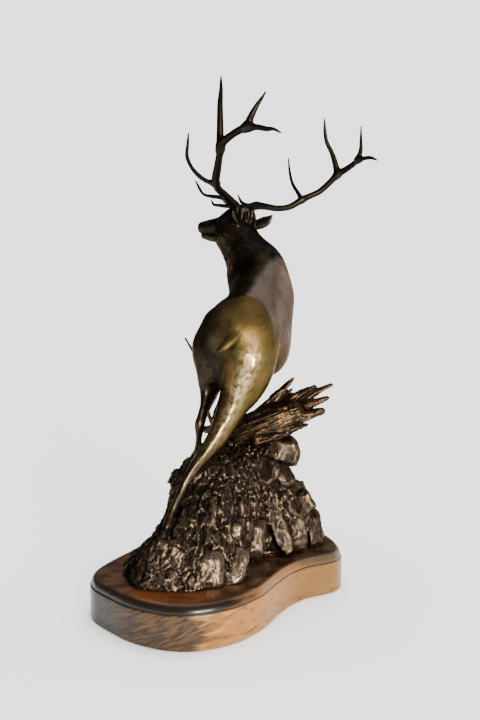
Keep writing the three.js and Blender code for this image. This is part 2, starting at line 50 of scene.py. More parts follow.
# Sizes of the modelling grid. A coarse grid is enough while trying things.
BODY_VOXEL = 1.15
ANTLER_VOXEL = 0.8
BRONZE_TRIANGLES = 190000
BODY_SHARE = 0.78

# The slab under the casting.
SLAB_HEIGHT = 51
SLAB_STEP_HEIGHT = 40.5
SLAB_STEP_DEPTH = 1.4
SLAB_EDGE_INSET = 9.5
SLAB_FOOT_CHAMFER = 1
SLAB_QUIRK_DEPTH = 1.6
SLAB_POINTS = 420
SLAB_TOP_RINGS = (0.9, 0.75, 0.6, 0.45, 0.3, 0.15)
SLAB_OUTLINE = [
    (-158, -50), (-151, -70), (-136, -88), (-122, -102), (-107, -116), (-85, -130),
    (-60, -140), (-35, -143), (-10, -138), (9, -129), (26, -117), (40, -102),
    (51, -88), (60, -72), (68, -56), (78, -39), (91, -21), (109, -5),
    (129, 5), (147, 16), (157, 35), (157, 58), (151, 82), (138, 108),
    (112, 131), (78, 145), (40, 150), (0, 149), (-40, 141), (-76, 123),
    (-99, 98), (-109, 70), (-120, 40), (-136, 12), (-150, -15), (-157, -34),
]
JOINT_GAP = 0.3
ROCK_FOOT = SLAB_HEIGHT + JOINT_GAP

# Contours of the outcrop, each a height and a ring of points, from the left round by the front.
ROCK_CONTOURS = [
    (ROCK_FOOT, [
        (-121, -13), (-118, -44), (-110, -74), (-98, -95), (-66, -103), (-36, -105),
        (-8, -91), (22, -79), (34, -45), (46, 6), (78, 20), (114, 42),
        (138, 70), (124, 106), (62, 132), (-10, 134), (-72, 110), (-106, 50)]),
    (63, [
        (-108, -12), (-107, -44), (-104, -74), (-93, -95), (-64, -102), (-34, -102),
        (-6, -87), (22, -72), (35, -38), (50, 4), (80, 16), (114, 37),
        (136, 67), (121, 104), (60, 131), (-10, 132), (-66, 105), (-94, 47)]),
    (80, [
        (-86, -14), (-87, -44), (-91, -73), (-83, -94), (-60, -99), (-30, -97),
        (-4, -81), (20, -63), (37, -30), (56, 4), (84, 13), (113, 29),
        (131, 60), (117, 102), (58, 128), (-8, 129), (-57, 99), (-78, 43)]),
    (104, [
        (-72, -16), (-73, -44), (-78, -70), (-72, -90), (-50, -91), (-24, -80),
        (0, -66), (22, -50), (43, -20), (61, 0), (88, 9), (107, 20),
        (117, 48), (104, 94), (54, 125), (-6, 126), (-50, 96), (-68, 38)]),
    (130, [
        (-62, 2), (-62, -22), (-60, -42), (-44, -56), (-26, -60), (-6, -56),
        (14, -44), (34, -28), (53, -8), (71, 3), (86, 9), (96, 22),
        (100, 46), (88, 90), (50, 121), (-4, 123), (-42, 94), (-60, 44)]),
    (155, [
        (-60, 18), (-57, -4), (-48, -20), (-34, -31), (-18, -36), (0, -33),
        (18, -23), (36, -11), (53, 3), (68, 11), (78, 20), (83, 33),
        (83, 52), (74, 84), (44, 115), (0, 119), (-34, 92), (-54, 48)]),
    (175, [
        (-45, 14), (-45, -2), (-39, -13), (-26, -18), (-10, -18), (6, -11),
        (21, -2), (37, 8), (51, 17), (62, 25), (69, 34), (73, 46),
        (71, 62), (60, 88), (36, 112), (8, 117), (-16, 96), (-32, 56)]),
    (192, [
        (-18, 66), (-14, 50), (-8, 40), (0, 32), (10, 28), (20, 28),
        (30, 30), (40, 33), (50, 37), (58, 43), (62, 50), (63, 60),
        (60, 72), (50, 92), (32, 110), (12, 115), (-6, 106), (-16, 88)]),
    (201, [
        (-12, 76), (-8, 64), (0, 54), (8, 48), (16, 46), (24, 46),
        (32, 48), (38, 52), (44, 56), (48, 62), (50, 68), (50, 76),
        (46, 86), (38, 98), (26, 106), (12, 110), (0, 104), (-8, 92)]),
]

# Slabs and boulders bedded in the outcrop: centre, half sizes, turn about Z, tilts about X and Y.
BOULDERS = [
    ((-11, -81, 67), (15, 12, 21), 6, -20, 4),
    ((20, -67, 65), (10, 10, 22), -4, -30, 15),
    ((18, -50, 104), (7, 9, 9), 0, -12, 4),
    ((43, -13, 86), (11, 13, 27), 4, -8, 4),
    ((71, 14, 90), (13, 13, 37), 8, -11, -17),
    ((95, 24, 84), (12, 13, 31), 14, -8, -6),
    ((117, 47, 74), (14, 14, 25), 26, -5, -4),
    ((105, 32, 115), (12, 16, 15), 18, -12, -28),
    ((77, 27, 150), (13, 17, 17), 14, -20, -26),
    ((55, 18, 158), (17, 16, 17), -8, -26, 12),
    ((79, 51, 178), (22, 18, 19), 10, 0, -6),
]
# Masses that break up the outline and weather like the rest of the rock.
CRAGS = [
    ((-47, 8, 154), (20, 17, 9), 0, 0, 6),
    ((-56, -82, 86), (22, 16, 15), 6, -10, 0),
    ((-36, -86, 66), (14, 13, 18), -6, -8, 6),
    ((-50, 88, 96), (24, 18, 30), 30, 10, 0),
    ((34, 112, 110), (34, 14, 44), -6, 8, 0),
    ((92, 82, 100), (20, 22, 30), -30, 6, 8),
]
LEDGE = ((-12, 104, 196), (16, 12, 4), 10, 0, 4)

# Stations of the swept forms: x, y, z, half width, half depth.
LOG_ACROSS = (0, 1, 0)
LOG_BUTT = [
    (-4, 62, 184, 14, 12), (14, 56, 194, 20, 19), (42, 52, 208, 25, 22), (72, 52, 222, 26, 21),
    (96, 52, 232, 20, 17),
]
LOG_SPLINTERS = [
    [(44, 62, 220, 15, 10), (70, 62, 247, 10, 7), (93, 62, 274, 2.4, 2)],
    [(60, 60, 230, 12, 8), (82, 60, 250, 6, 5), (92, 61, 259, 2, 2)],
    [(54, 56, 220, 16, 11), (92, 57, 247, 10, 7), (122, 58, 264, 3.4, 3)],
    [(72, 62, 226, 13, 9), (114, 62, 250, 8.5, 6), (144, 63, 265, 3.2, 2.8)],
    [(80, 54, 226, 11, 9), (116, 54, 241, 8, 6), (138, 55, 247, 3.4, 3)],
    [(66, 46, 214, 17, 13), (102, 48, 225, 13, 9), (131, 49, 232, 7, 4.5)],
    [(56, 40, 204, 14, 11), (84, 41, 210, 10, 7), (110, 42, 214, 2.6, 2.4)],
    [(56, 72, 214, 13, 11), (90, 78, 236, 9, 7), (114, 82, 250, 3, 2.6)],
    [(44, 34, 198, 13, 10), (70, 34, 203, 9, 6), (90, 36, 206, 2.4, 2.2)],
]
TWIG = [
    (-2, 66, 190, 4.2, 3.6), (-19, 60, 226, 3, 2.8), (-23, 56, 262, 2.5, 2.5),
    (-36, 56, 304, 2.2, 2.2), (-49, 60, 327, 1.5, 1.5),
]

BODY_RIGHT = (0.956, -0.292, 0)
TORSO = [
    (15, -27, 325, 16, 15), (21, -11, 334, 35, 32), (34, 22, 340, 44, 45), (46, 62, 358, 43, 52),
    (53, 104, 379, 42, 55), (56, 142, 400, 38, 56), (56, 166, 420, 32, 46), (54, 180, 436, 19, 30),
]
FLANK = [
    (46, 34, 326, 28, 30), (55, 60, 316, 33, 41), (58, 96, 331, 33, 42), (59, 134, 356, 28, 38),
]
RUMP = [
    (12, 34, 360, 24, 20), (7, 10, 345, 30, 27), (13, -12, 334, 29, 27),
]
TAIL = [
    (25, -22, 343, 6, 5), (18, -38, 336, 6.4, 5.4), (9, -44, 328, 6.2, 5.2), (2, -47, 322, 5, 4.4),
    (-3, -47, 319, 2.6, 2.4),
]
RIGHT_HIND_LEG = [
    (34, 0, 352, 27, 26), (37, -4, 322, 33, 33), (33, 0, 294, 32, 35), (26, 0, 272, 27, 31),
    (17, -5, 254, 20, 25), (8, -12, 236, 15.5, 19), (-3, -21, 215, 12.3, 15),
    (-13, -28, 201, 10, 12), (-24, -34, 187, 8, 10.5), (-34, -38, 174, 6.8, 9.5),
    (-43, -44, 159, 5.2, 7), (-52, -54, 142, 4.4, 5.4), (-59, -63, 126, 4.6, 5.4),
    (-62, -68, 117, 5.6, 6.4), (-64, -72, 111, 4.8, 5.6),
]
LEFT_HIND_LEG = [
    (2, 16, 344, 26, 24), (-5, 13, 318, 33, 30), (-9, 14, 295, 24, 30), (-14, 15, 275, 15, 25),
    (-17, 9, 260, 9.5, 18), (-20, -1, 247, 5.4, 12), (-24, -9, 234, 5.2, 9),
    (-26.5, -13, 226, 6, 8), (-27.5, -11, 212, 4, 5.6), (-29, -8, 198, 3.6, 4.6),
    (-31, -6, 188, 4.4, 5), (-33, -5, 182, 4, 4.6),
]
LEFT_FORELEG = [
    (40, 148, 352, 15, 22), (30, 140, 318, 11, 14), (18, 132, 290, 8.4, 9.5),
    (8, 126, 266, 7.2, 7.6), (1, 121, 250, 5.2, 5.6), (-5, 115, 230, 4.4, 4.8),
    (-9.5, 111, 217, 5.4, 5.6), (-10, 109, 210, 4.6, 5),
]
RIGHT_FORELEG = [
    (68, 142, 350, 15, 22), (56, 134, 316, 11, 14), (44, 128, 288, 8.4, 9.5),
    (34, 124, 264, 7.2, 7.6), (28, 120, 248, 5.2, 5.6), (23, 116, 230, 4.4, 4.8),
    (20, 114, 217, 5.4, 5.6), (19, 112, 210, 4.6, 5),
]
# Cloven hooves: ankle point, direction of the toe, sole height.
HOOF_LENGTH = 17
HOOF_HALF_WIDTH = 5.4
HOOVES = [
    ((-65, -74, 111), (-0.25, 0.95), 100),
    ((-34, -4, 183), (-0.2, 0.97), 172),
    ((-11, 108, 211), (-0.5, 0.86), 199),
    ((19, 111, 211), (0.1, 0.99), 199),
]

NECK = [
    (48, 148, 380, 40, 44), (47, 146, 400, 39, 46), (41, 146, 422, 34.5, 42),
    (32.5, 148, 440, 31, 37), (22.5, 150, 456, 29, 32), (13, 154, 470, 26, 29),
    (17, 157, 485, 18, 20),
]
# Locks of the mane: the heights of their rows, and how each hangs down round the neck. The angle
# runs round the neck from its right side by the front. A radius is that of the root, middle or tip.
MANE_ROWS = (474, 450, 426)
MANE_LOCKS_PER_ROW = 7
MANE_FIRST_ANGLE = -15
MANE_STEP_ANGLE = 35
MANE_STAGGER_ANGLE = 17
MANE_FALL = 34
MANE_DEPTH_SHARES = (0.9, 0.95, 1.02)
MANE_RADII = (3, 5.5, 1.2)
HEAD_LEFT = (-0.64, -0.77, 0)
HEAD = [
    (33, 149, 491, 14, 14), (26, 156, 491, 19, 18), (14, 165, 488, 17.5, 17.5),
    (-3, 178, 482.5, 13, 13), (-20, 190, 481, 10, 10.6), (-32, 198, 480, 9.2, 9),
]
JAW = [
    (20, 158, 472, 14, 16), (5, 169, 467.5, 11, 11.5), (-14, 184, 465.5, 8, 7.5),
    (-30, 195, 468, 6, 4.6),
]
# What closes the mouth between the lips.
MUZZLE = [
    (18, 160, 481, 16, 15), (4, 172, 478, 13, 12), (-9, 182, 475, 10, 9.5), (-20, 189.5, 474, 8, 8),
    (-28, 195, 474, 6.5, 5),
]
EYES = [
    [(-6, 163, 489.5, 3.2, 2.6), (-8, 164.5, 489, 3.2, 2.6)],
    [(12, 185.5, 489.5, 3.2, 2.6), (10, 187, 489, 3.2, 2.6)],
]
EAR_ACROSS = (-0.3, 0.3, 0.9)
RIGHT_EAR = [
    (40, 152, 479, 4.8, 3.8), (51, 148, 482, 8, 3.6), (61, 145, 486.5, 7, 2.8),
    (68.5, 143, 493.5, 1.2, 1.2),
]
LEFT_EAR = [
    (24, 140, 482, 4.6, 3.6), (19, 130, 485, 7, 3.4), (15, 121, 490, 6.4, 2.6),
    (13, 114, 497, 1.2, 1.2),
]

# Locks of the poll, hanging side by side behind the antlers. The middle of the row stands out by
# the bow, and each lock sways and shortens a little.
POLL_LEFT = (12, 136, 503)
POLL_RIGHT = (41, 140, 501)
POLL_BOW = (0, -3, 2)
POLL_FALL = (2, -4, -30)
POLL_TAPER = (-8, 5, 0)
POLL_LOCKS = 9
POLL_FALL_MEAN = 0.95
POLL_FALL_VARIES = 0.12
POLL_FALL_BEAT = 1.7
POLL_SWAY = 2.4
POLL_SWAY_BEAT = 2.4
POLL_RADII = (2.8, 3.2, 2.5, 0.9)

# Antlers: x, y, z, radius, from the root to the tip.
LEFT_BEAM = [
    (23, 140, 499, 6), (17, 137, 506, 6), (11, 127, 511, 5.5), (3, 108, 517, 5), (-6, 75, 522, 5),
    (-8, 50, 529, 5.5), (-5, 30, 541, 5), (-2, 14, 554, 4.5), (1, 4, 566, 5.5), (10, -6, 572, 4.5),
    (21, -12, 578, 4.5), (34, -18, 582, 5),
]
RIGHT_BEAM = [
    (33, 157, 499, 6), (36, 162, 505, 6), (46, 169, 509, 6), (58, 177, 509, 5),
    (77, 186, 507, 4.5), (96, 193, 510, 4.5), (113, 198, 520, 5), (125, 201, 526, 4.5),
    (140, 204, 533, 4.5), (154, 203, 545, 4.5), (166, 201, 557, 5), (178, 193, 564, 4.5),
    (186, 182, 569, 4), (192, 167, 574, 4),
]
# Brow, bez, trez and royal tines, and the two ends of the fork.
LEFT_TINES = [
    [(15, 140, 506, 3.5), (3, 152, 507, 3), (-7, 162, 509, 2.5), (-15, 169, 511, 2),
     (-18, 173, 518, 1)],
    [(8, 125, 513, 3.5), (-6, 132, 517, 3), (-19, 136, 519, 2.5), (-28, 139, 522, 2),
     (-34, 141, 531, 2), (-39, 142, 541, 1)],
    [(-7, 60, 526, 4), (-18, 56, 528, 3), (-30, 58, 536, 3), (-40, 60, 548, 2.5),
     (-45, 61, 561, 2.5), (-44, 62, 576, 2), (-43, 63, 590, 1)],
    [(-1, 10, 560, 5), (-1, 8, 576, 4.5), (-1, 8, 595, 4), (-1, 10, 614, 3.5), (0, 13, 631, 2.5),
     (0, 16, 648, 1)],
    [(30, -16, 581, 4.5), (36, -20, 593, 4), (42, -21, 604, 3), (48, -20, 613, 2),
     (53, -19, 621, 1)],
    [(30, -16, 581, 4.5), (43, -23, 580, 3.5), (54, -28, 577, 3), (62, -32, 576, 2),
     (70, -36, 571, 1)],
]
RIGHT_TINES = [
    [(39, 165, 507, 3), (29, 178, 509, 2.5), (17, 184, 512, 2), (1, 188, 516, 1.5),
     (-5, 188, 524, 1)],
    [(46, 170, 510, 3.5), (34, 190, 512, 3), (26, 203, 517, 2.5), (23, 210, 522, 2),
     (20, 213, 530, 1)],
    [(114, 198, 520, 4), (110, 211, 531, 3), (102, 220, 546, 2.5), (98, 227, 564, 2),
     (96, 231, 586, 1)],
    [(166, 200, 555, 4.5), (164, 200, 568, 4.5), (158, 201, 588, 3.5), (150, 201, 604, 3),
     (147, 200, 620, 2.5), (146, 198, 637, 1)],
    [(191, 170, 574, 4), (194, 164, 586, 3), (193, 157, 600, 2), (192, 151, 616, 1)],
    [(191, 170, 573, 3.5), (198, 160, 574, 3), (206, 148, 573, 2.5), (213, 138, 568, 1)],
]


# Vectors and noise

def unit(v):
    v = np.asarray(v, float)
    return v / max(np.linalg.norm(v), 1e-9)


def smoothstep(low, high, value):
    t = np.clip((value - low) / (high - low), 0, 1)
    return t * t * (3 - 2 * t)


def mix(a, b, share):
    return a + (b - a) * share


# Large odd numbers that scramble the bits of a place.
MIXERS = [np.uint32(n) for n in (0x9E3779B1, 0x85EBCA77, 0xC2B2AE3D, 0x2C1B3C6D, 0x297A2D39)]
MIXER_SHIFTS = [np.uint32(15), np.uint32(12)]
SEED_STEP = 7919
LARGEST_HASH = 0xFFFFFFFF


def hashed(ix, iy, iz, seed):
    """Repeatable numbers from 0 to 1, one for each whole-number point."""
    h = ix.astype(np.uint32) * MIXERS[0]
    h ^= iy.astype(np.uint32) * MIXERS[1]
    h ^= iz.astype(np.uint32) * MIXERS[2]
    h += np.uint32(seed * SEED_STEP + 1)
    for shift, mixer in zip(MIXER_SHIFTS, MIXERS[3:]):
        h ^= h >> shift
        h *= mixer
    h ^= h >> MIXER_SHIFTS[0]
    return h / np.float64(LARGEST_HASH)


def noise(points, seed):
    """Smooth gradient noise, roughly between -1 and 1."""
    places = np.ascontiguousarray(points.T)
    cell = np.floor(places).astype(np.int64)
    inside = places - cell
    fade = inside * inside * inside * (inside * (inside * 6 - 15) + 10)
    total = 0
    for corner in np.ndindex(2, 2, 2):
        pick = hashed(*(whole + step for whole, step in zip(cell, corner)), seed)
        slope = SLOPES[:, (pick * (SLOPES.shape[1] - 0.001)).astype(int)]
        height, weight = 0, 1
        for k, step in enumerate(corner):
            height = height + slope[k] * (inside[k] - step)
            weight = weight * (fade[k] if step else 1 - fade[k])
        total = total + height * weight
    return total * NOISE_GAIN


SLOPES = np.array([
    (1, 1, 0), (-1, 1, 0), (1, -1, 0), (-1, -1, 0), (1, 0, 1), (-1, 0, 1),
    (1, 0, -1), (-1, 0, -1), (0, 1, 1), (0, -1, 1), (0, 1, -1), (0, -1, -1)], float).T
NOISE_GAIN = 1.2


def shaken(points, size, reach, seed):
    """The same points pushed about by slow noise."""
    push = np.stack([noise(points / size, seed + k) for k in range(3)], axis=1)
    return points + reach * push


def neighbours(points, seed):
    """For each cell round the points: its own three random numbers, and the way to its point."""
    places = np.ascontiguousarray(points.T)
    base = np.floor(places).astype(np.int64)
    for steps in np.ndindex(3, 3, 3):
        corner = [whole + step - 1 for whole, step in zip(base, steps)]
        random = [hashed(*corner, seed + k) for k in range(3)]
        yield random, [c + part - place for c, part, place in zip(corner, random, places)]


# Factors that turn one random number into another, and how steep the chipped faces are.
OWN_FACTOR = 7.31
SLOPE_FACTOR = 5.17
FACET_SLOPE = 2.2


def facets(points, seed):
    """Chipped faces: each scattered point carries a small plane at its own height and slope."""
    nearest = np.full(len(points), 9.0)
    height = np.zeros(len(points))
    for random, way in neighbours(points, seed):
        distance = sum(run ** 2 for run in way)
        own = (random[0] * OWN_FACTOR) % 1.0 - 0.5
        for part, run in zip(random, way):
            own = own + FACET_SLOPE * ((part * SLOPE_FACTOR) % 1.0 - 0.5) * run
        height = np.where(distance < nearest, own, height)
        nearest = np.minimum(nearest, distance)
    return height


def cells(points, seed):
    """How much farther the second scattered point is than the nearest, and the nearest's number."""
    first = second = np.full(len(points), 9.0)
    name = np.zeros(len(points))
    for random, way in neighbours(points, seed):
        distance = np.sqrt(sum(run ** 2 for run in way))
        second = np.minimum(second, np.maximum(first, distance))
        name = np.where(distance < first, (random[0] * OWN_FACTOR) % 1.0, name)
        first = np.minimum(first, distance)
    return second - first, name


# Shapes as distance functions, in millimetres

# How far from its skin a shape is worked out, and what stands for nothing being near.
FAR = 12.0
EMPTY = 99.0
VERY_FAR = 1e3
# The trunk and the belly run into each other over a longer stretch.
TRUNK_MARGIN = 20.0
TRUNK_SMOOTHING = 26
# Steps between two points of a ring, the length of a rounded end, how round a block's edges are.
RING_STEPS = 24
CAP_SHARE = 0.8
EDGE_SOFTNESS = 0.6


class Segment:
    """A short run of a sweep, with an elliptical section at each end."""

    def __init__(self, start, end, across, along, margin):
        run = end - start
        self.start = start
        self.growth = run[3:]
        self.length = max(np.linalg.norm(run[:3]), 1e-6)
        self.along = along
        axis = run[:3] / self.length
        side = unit(across - np.dot(across, axis) * axis)
        self.ways = (axis, side, np.cross(axis, side))
        reach = max(*start[3:], *end[3:]) + margin
        self.low = np.minimum(start[:3], end[:3]) - reach
        self.high = np.maximum(start[:3], end[:3]) + reach

    def local(self, x, y, z):
        """The share of the run, what lies past its ends, and offsets and half sizes across it."""
        x, y, z = x - self.start[0], y - self.start[1], z - self.start[2]
        s, u, v = (x * way[0] + y * way[1] + z * way[2] for way in self.ways)
        share = np.clip(s / self.length, 0, 1)
        w, h = (self.start[3 + k] + self.growth[k] * share for k in (0, 1))
        return share, s - share * self.length, u, v, w, h

    def distance(self, x, y, z):
        _, past, u, v, w, h = self.local(x, y, z)
        cap = CAP_SHARE * np.minimum(w, h)
        a, b, c = u / w, v / h, past / cap
        k0 = np.sqrt(a * a + b * b + c * c)
        a, b, c = a / w, b / h, c / cap
        k1 = np.sqrt(a * a + b * b + c * c) + 1e-9
        return k0 * (k0 - 1) / k1


def curve_span(p0, p1, p2, p3, count):
    """Points from p1 to just before p2 on a centripetal curve. Only three columns are places."""
    d0, d1, d2 = (max(np.linalg.norm((b - a)[:3]) ** 0.5, 1e-4)
                  for a, b in ((p0, p1), (p1, p2), (p2, p3)))
    m1 = ((p1 - p0) / d0 - (p2 - p0) / (d0 + d1) + (p2 - p1) / d1) * d1
    m2 = ((p2 - p1) / d1 - (p3 - p1) / (d1 + d2) + (p3 - p2) / d2) * d1
    t = np.arange(count)[:, None] / count
    return (p1 + m1 * t + (3 * (p2 - p1) - 2 * m1 - m2) * t * t
            + (2 * (p1 - p2) + m1 + m2) * t ** 3)


def smooth_path(rows, per_span):
    """Rows on a smooth curve through the given rows. No radius falls far below the given ones."""
    rows = np.array(rows, float)
    if rows.shape[1] == 4:
        rows = np.hstack([rows, rows[:, 3:4]])
    padded = np.vstack([2 * rows[0] - rows[1], rows, 2 * rows[-1] - rows[-2]])
    spans = zip(padded, padded[1:], padded[2:], padded[3:])
    result = np.vstack([*(curve_span(*four, per_span) for four in spans), rows[-1:]])
    result[:, 3:] = np.maximum(result[:, 3:], rows[:, 3:].min(0) * 0.8)
    return result


def smooth_ring(outline, count):
    """Evenly spread points on a smooth closed curve."""
    points = np.array(outline, float)
    spans = zip(*(np.roll(points, shift, axis=0) for shift in (1, 0, -1, -2)))
    dense = np.vstack([curve_span(*four, RING_STEPS) for four in spans])
    closed = np.vstack([dense, dense[:1]])
    length = np.concatenate([[0], np.cumsum(np.linalg.norm(np.diff(closed, axis=0), axis=1))])
    places = np.arange(count) * length[-1] / count
    return np.stack([np.interp(places, length, closed[:, k]) for k in (0, 1)], axis=1)


class Sweep:
    """A limb swept through stations, made of short segments."""

    def __init__(self, stations, across=BODY_RIGHT, per_span=4, margin=FAR):
        rows = smooth_path(stations, per_span)
        along = 0.0
        self.pieces = []
        for start, end in zip(rows, rows[1:]):
            piece = Segment(start, end, np.array(across, float), along, margin)
            along += piece.length
            self.pieces.append(piece)
        self.low = np.min([p.low for p in self.pieces], axis=0)
        self.high = np.max([p.high for p in self.pieces], axis=0)

    def coordinates(self, points):
        """Distance, place along the axis, and the direction around it times the mean radius."""
        best = np.full(len(points), VERY_FAR)
        along = np.zeros(len(points))
        around = np.zeros((2, len(points)))
        places = np.ascontiguousarray(points.T)
        for piece in self.pieces:
            share, _, u, v, w, h = piece.local(*places)
            d = piece.distance(*places)
            nearer = d < best
            best = np.where(nearer, d, best)
            along = np.where(nearer, piece.along + share * piece.length, along)
            length = np.hypot(u / w, v / h) + 1e-9
            mean = (w + h) / 2
            around = np.where(nearer, np.stack([u / w * mean, v / h * mean]) / length, around)
        return best, along, around.T


class Planes:
    """A convex block bounded by planes, with slightly softened edges."""

    def __init__(self, centre, normals, offsets, reach):
        self.centre = np.asarray(centre, float)
        self.normals = np.array([unit(n) for n in normals])
        self.offsets = np.array(offsets, float)
        self.low = self.centre - reach - FAR
        self.high = self.centre + reach + FAR
        self.pieces = [self]

    def distance(self, x, y, z):
        x, y, z = x - self.centre[0], y - self.centre[1], z - self.centre[2]
        result = None
        for n, o in zip(self.normals, self.offsets):
            d = x * n[0] + y * n[1] + z * n[2] - o
            result = d if result is None else smooth_maximum(result, d, EDGE_SOFTNESS)
        return result


def smooth_minimum(a, b, k):
    h = np.clip(0.5 + 0.5 * (b - a) / k, 0, 1)
    return mix(b, a, h) - k * h * (1 - h)


def smooth_maximum(a, b, k):
    return -smooth_minimum(-a, -b, k)


def rotation(turn, tilt_x, tilt_y):
    a, b, c = (math.radians(v) for v in (tilt_x, tilt_y, turn))
    about_x = np.array([(1, 0, 0), (0, math.cos(a), -math.sin(a)), (0, math.sin(a), math.cos(a))])
    about_y = np.array([(math.cos(b), 0, math.sin(b)), (0, 1, 0), (-math.sin(b), 0, math.cos(b))])
    about_z = np.array([(math.cos(c), -math.sin(c), 0), (math.sin(c), math.cos(c), 0), (0, 0, 1)])
    return about_z @ about_y @ about_x


# How far out a block's faces, bevels and corner cuts lie in half sizes, and how deep its chips go.
CUT_REACH = {1: 1.0, 2: 1.64, 3: 2.28}
CUT_JITTER = 0.05
CHIPS = 7
CHIP_REACH = (0.66, 0.78)
CHIP_FLATNESS = (1, 1, 0.7)


def hewn_block(block, seed):
    """A quarried block with bevelled edges, cut corners and a few chips knocked off."""
    centre, half, turn, tilt_x, tilt_y = block
    half = np.array(half, float)
    random = np.random.default_rng(seed)
    normals, offsets = [], []
    for signs in np.ndindex(3, 3, 3):
        corner = np.array(signs) - 1
        kind = int(np.abs(corner).sum())
        if kind:
            reach = CUT_REACH[kind] * (1 + CUT_JITTER * random.uniform(-1, 1))
            normals.append(unit(corner / half))
            offsets.append(reach / np.linalg.norm(corner / half))
    for _ in range(CHIPS):
        normal = unit(random.normal(size=3) * CHIP_FLATNESS)
        normals.append(normal)
        offsets.append(np.abs(normal * half).sum() * random.uniform(*CHIP_REACH))
    turned = [rotation(turn, tilt_x, tilt_y) @ normal for normal in normals]
    return Planes(centre, turned, offsets, np.linalg.norm(half))


def hoof_toes(hoof):
    """Two toes side by side, flat underneath, sloping down to the front."""
    ankle, direction, sole = hoof
    forward = unit((*direction, 0))
    side = np.cross(forward, (0, 0, 1))
    up = np.array((0, 0, 1.0))
    rise = ankle[2] - sole
    slope = unit(forward * rise + up * HOOF_LENGTH * 0.42)
    toes = []
    for hand in (-1, 1):
        centre = np.array((*ankle[:2], sole)) + hand * side * HOOF_HALF_WIDTH * 0.46
        # Each plane of the toe: its outward normal, and how far out it lies.
        planes = [
            (-up, 0),
            (-forward, 0.3 * HOOF_LENGTH),
            (slope, slope @ forward * 0.68 * HOOF_LENGTH + slope @ up * 0.2 * rise),
            (-hand * side, 0.34 * HOOF_HALF_WIDTH),
            (hand * side + forward * 0.16, 0.42 * HOOF_HALF_WIDTH),
            (forward + 0.3 * up, 0.7 * HOOF_LENGTH),
            (up - 0.2 * forward, 1.2 * rise),
        ]
        toes.append(Planes(centre, *zip(*planes), HOOF_LENGTH))
    return toes


class Outcrop:
    """The rock as a distance from a moving axis, read off its contours."""

    ANGLES = 240
    POINTS_PER_RING = 720
    STEEPNESS = 0.86
    LOW = (-134, -118, ROCK_FOOT - 6)
    HIGH = (152, 148)

    def __init__(self, contours):
        self.heights = np.array([height for height, _ in contours])
        self.centres = np.zeros((len(contours), 2))
        self.radii = np.zeros((len(contours), self.ANGLES))
        steps = np.arange(self.ANGLES) * 2 * math.pi / self.ANGLES - math.pi
        for k, (_, outline) in enumerate(contours):
            ring = smooth_ring(outline, self.POINTS_PER_RING)
            self.centres[k] = ring.mean(0)
            offset = ring - self.centres[k]
            angle = np.arctan2(offset[:, 1], offset[:, 0])
            order = np.argsort(angle)
            radius = np.linalg.norm(offset, axis=1)
            self.radii[k] = np.interp(steps, angle[order], radius[order], period=2 * math.pi)
        self.low = np.array(self.LOW)
        self.high = np.array((*self.HIGH, self.heights[-1] + FAR))
        self.pieces = [self]

    def distance(self, x, y, z):
        level = np.clip(np.interp(z, self.heights, np.arange(len(self.heights))),
                        0, len(self.heights) - 1.001)
        below = level.astype(int)
        share = level - below
        dx, dy = (place - mix(self.centres[below, k], self.centres[below + 1, k], share)
                  for k, place in enumerate((x, y)))
        turn = (np.arctan2(dy, dx) / (2 * math.pi) + 0.5) * self.ANGLES
        left = turn.astype(int)
        part = turn - left
        left = left % self.ANGLES
        right = (left + 1) % self.ANGLES
        low, high = (mix(self.radii[row, left], self.radii[row, right], part)
                     for row in (below, below + 1))
        sideways = np.sqrt(dx * dx + dy * dy) - mix(low, high, share)
        return np.maximum(sideways * self.STEEPNESS, z - self.heights[-1])


class Field:
    """Distance to the shapes joined so far, on a regular grid over a box."""

    def __init__(self, low, high, voxel):
        self.low = np.array(low, float)
        self.voxel = voxel
        self.count = np.ceil((np.array(high) - self.low) / voxel).astype(int) + 1
        self.values = np.full(self.count, EMPTY, np.float32)

    def window(self, low, high):
        first = np.clip(np.floor((low - self.low) / self.voxel).astype(int), 0, self.count)
        last = np.clip(np.ceil((high - self.low) / self.voxel).astype(int) + 1, first, self.count)
        x, y, z = (
            (self.low[k] + self.voxel * np.arange(first[k], last[k])).astype(np.float32)
            for k in range(3))
        return first, last, x[:, None, None], y[None, :, None], z[None, None, :]

    def join(self, shapes, fillet):
        """Adds shapes, each joined to the rest with a fillet of about this size."""
        for shape in shapes:
            first, last, *_ = self.window(shape.low, shape.high)
            own = np.full(last - first, EMPTY, np.float32)
            for piece in shape.pieces:
                start, end, x, y, z = self.window(piece.low, piece.high)
                inner = tuple(slice(a, b) for a, b in zip(start - first, end - first))
                own[inner] = np.minimum(own[inner], piece.distance(x, y, z))
            outer = tuple(slice(a, b) for a, b in zip(first, last))
            self.values[outer] = smooth_minimum(self.values[outer], own, fillet)

    def cut_below(self, height):
        z = self.low[2] + self.voxel * np.arange(self.count[2])
        self.values = np.maximum(self.values, (height - z).astype(np.float32)[None, None, :])

    def polygons(self):
        grid = openvdb.FloatGrid(FAR)
        grid.copyFromArray(np.ascontiguousarray(np.minimum(self.values, FAR)))
        points, triangles, quads = grid.convertToPolygons(isovalue=0.0, adaptivity=0.0)
        return points.astype(float) * self.voxel + self.low, triangles, quads


def distance_at(shapes, points):
    """Distance from each point to the nearest of these shapes, no more than FAR."""
    result = np.full(len(points), FAR)
    for shape in shapes:
        for piece in shape.pieces:
            near = ((points > piece.low) & (points < piece.high)).all(1)
            x, y, z = points[near].T
            result[near] = np.minimum(result[near], piece.distance(x, y, z))
    return result


# The masses of the sculpture

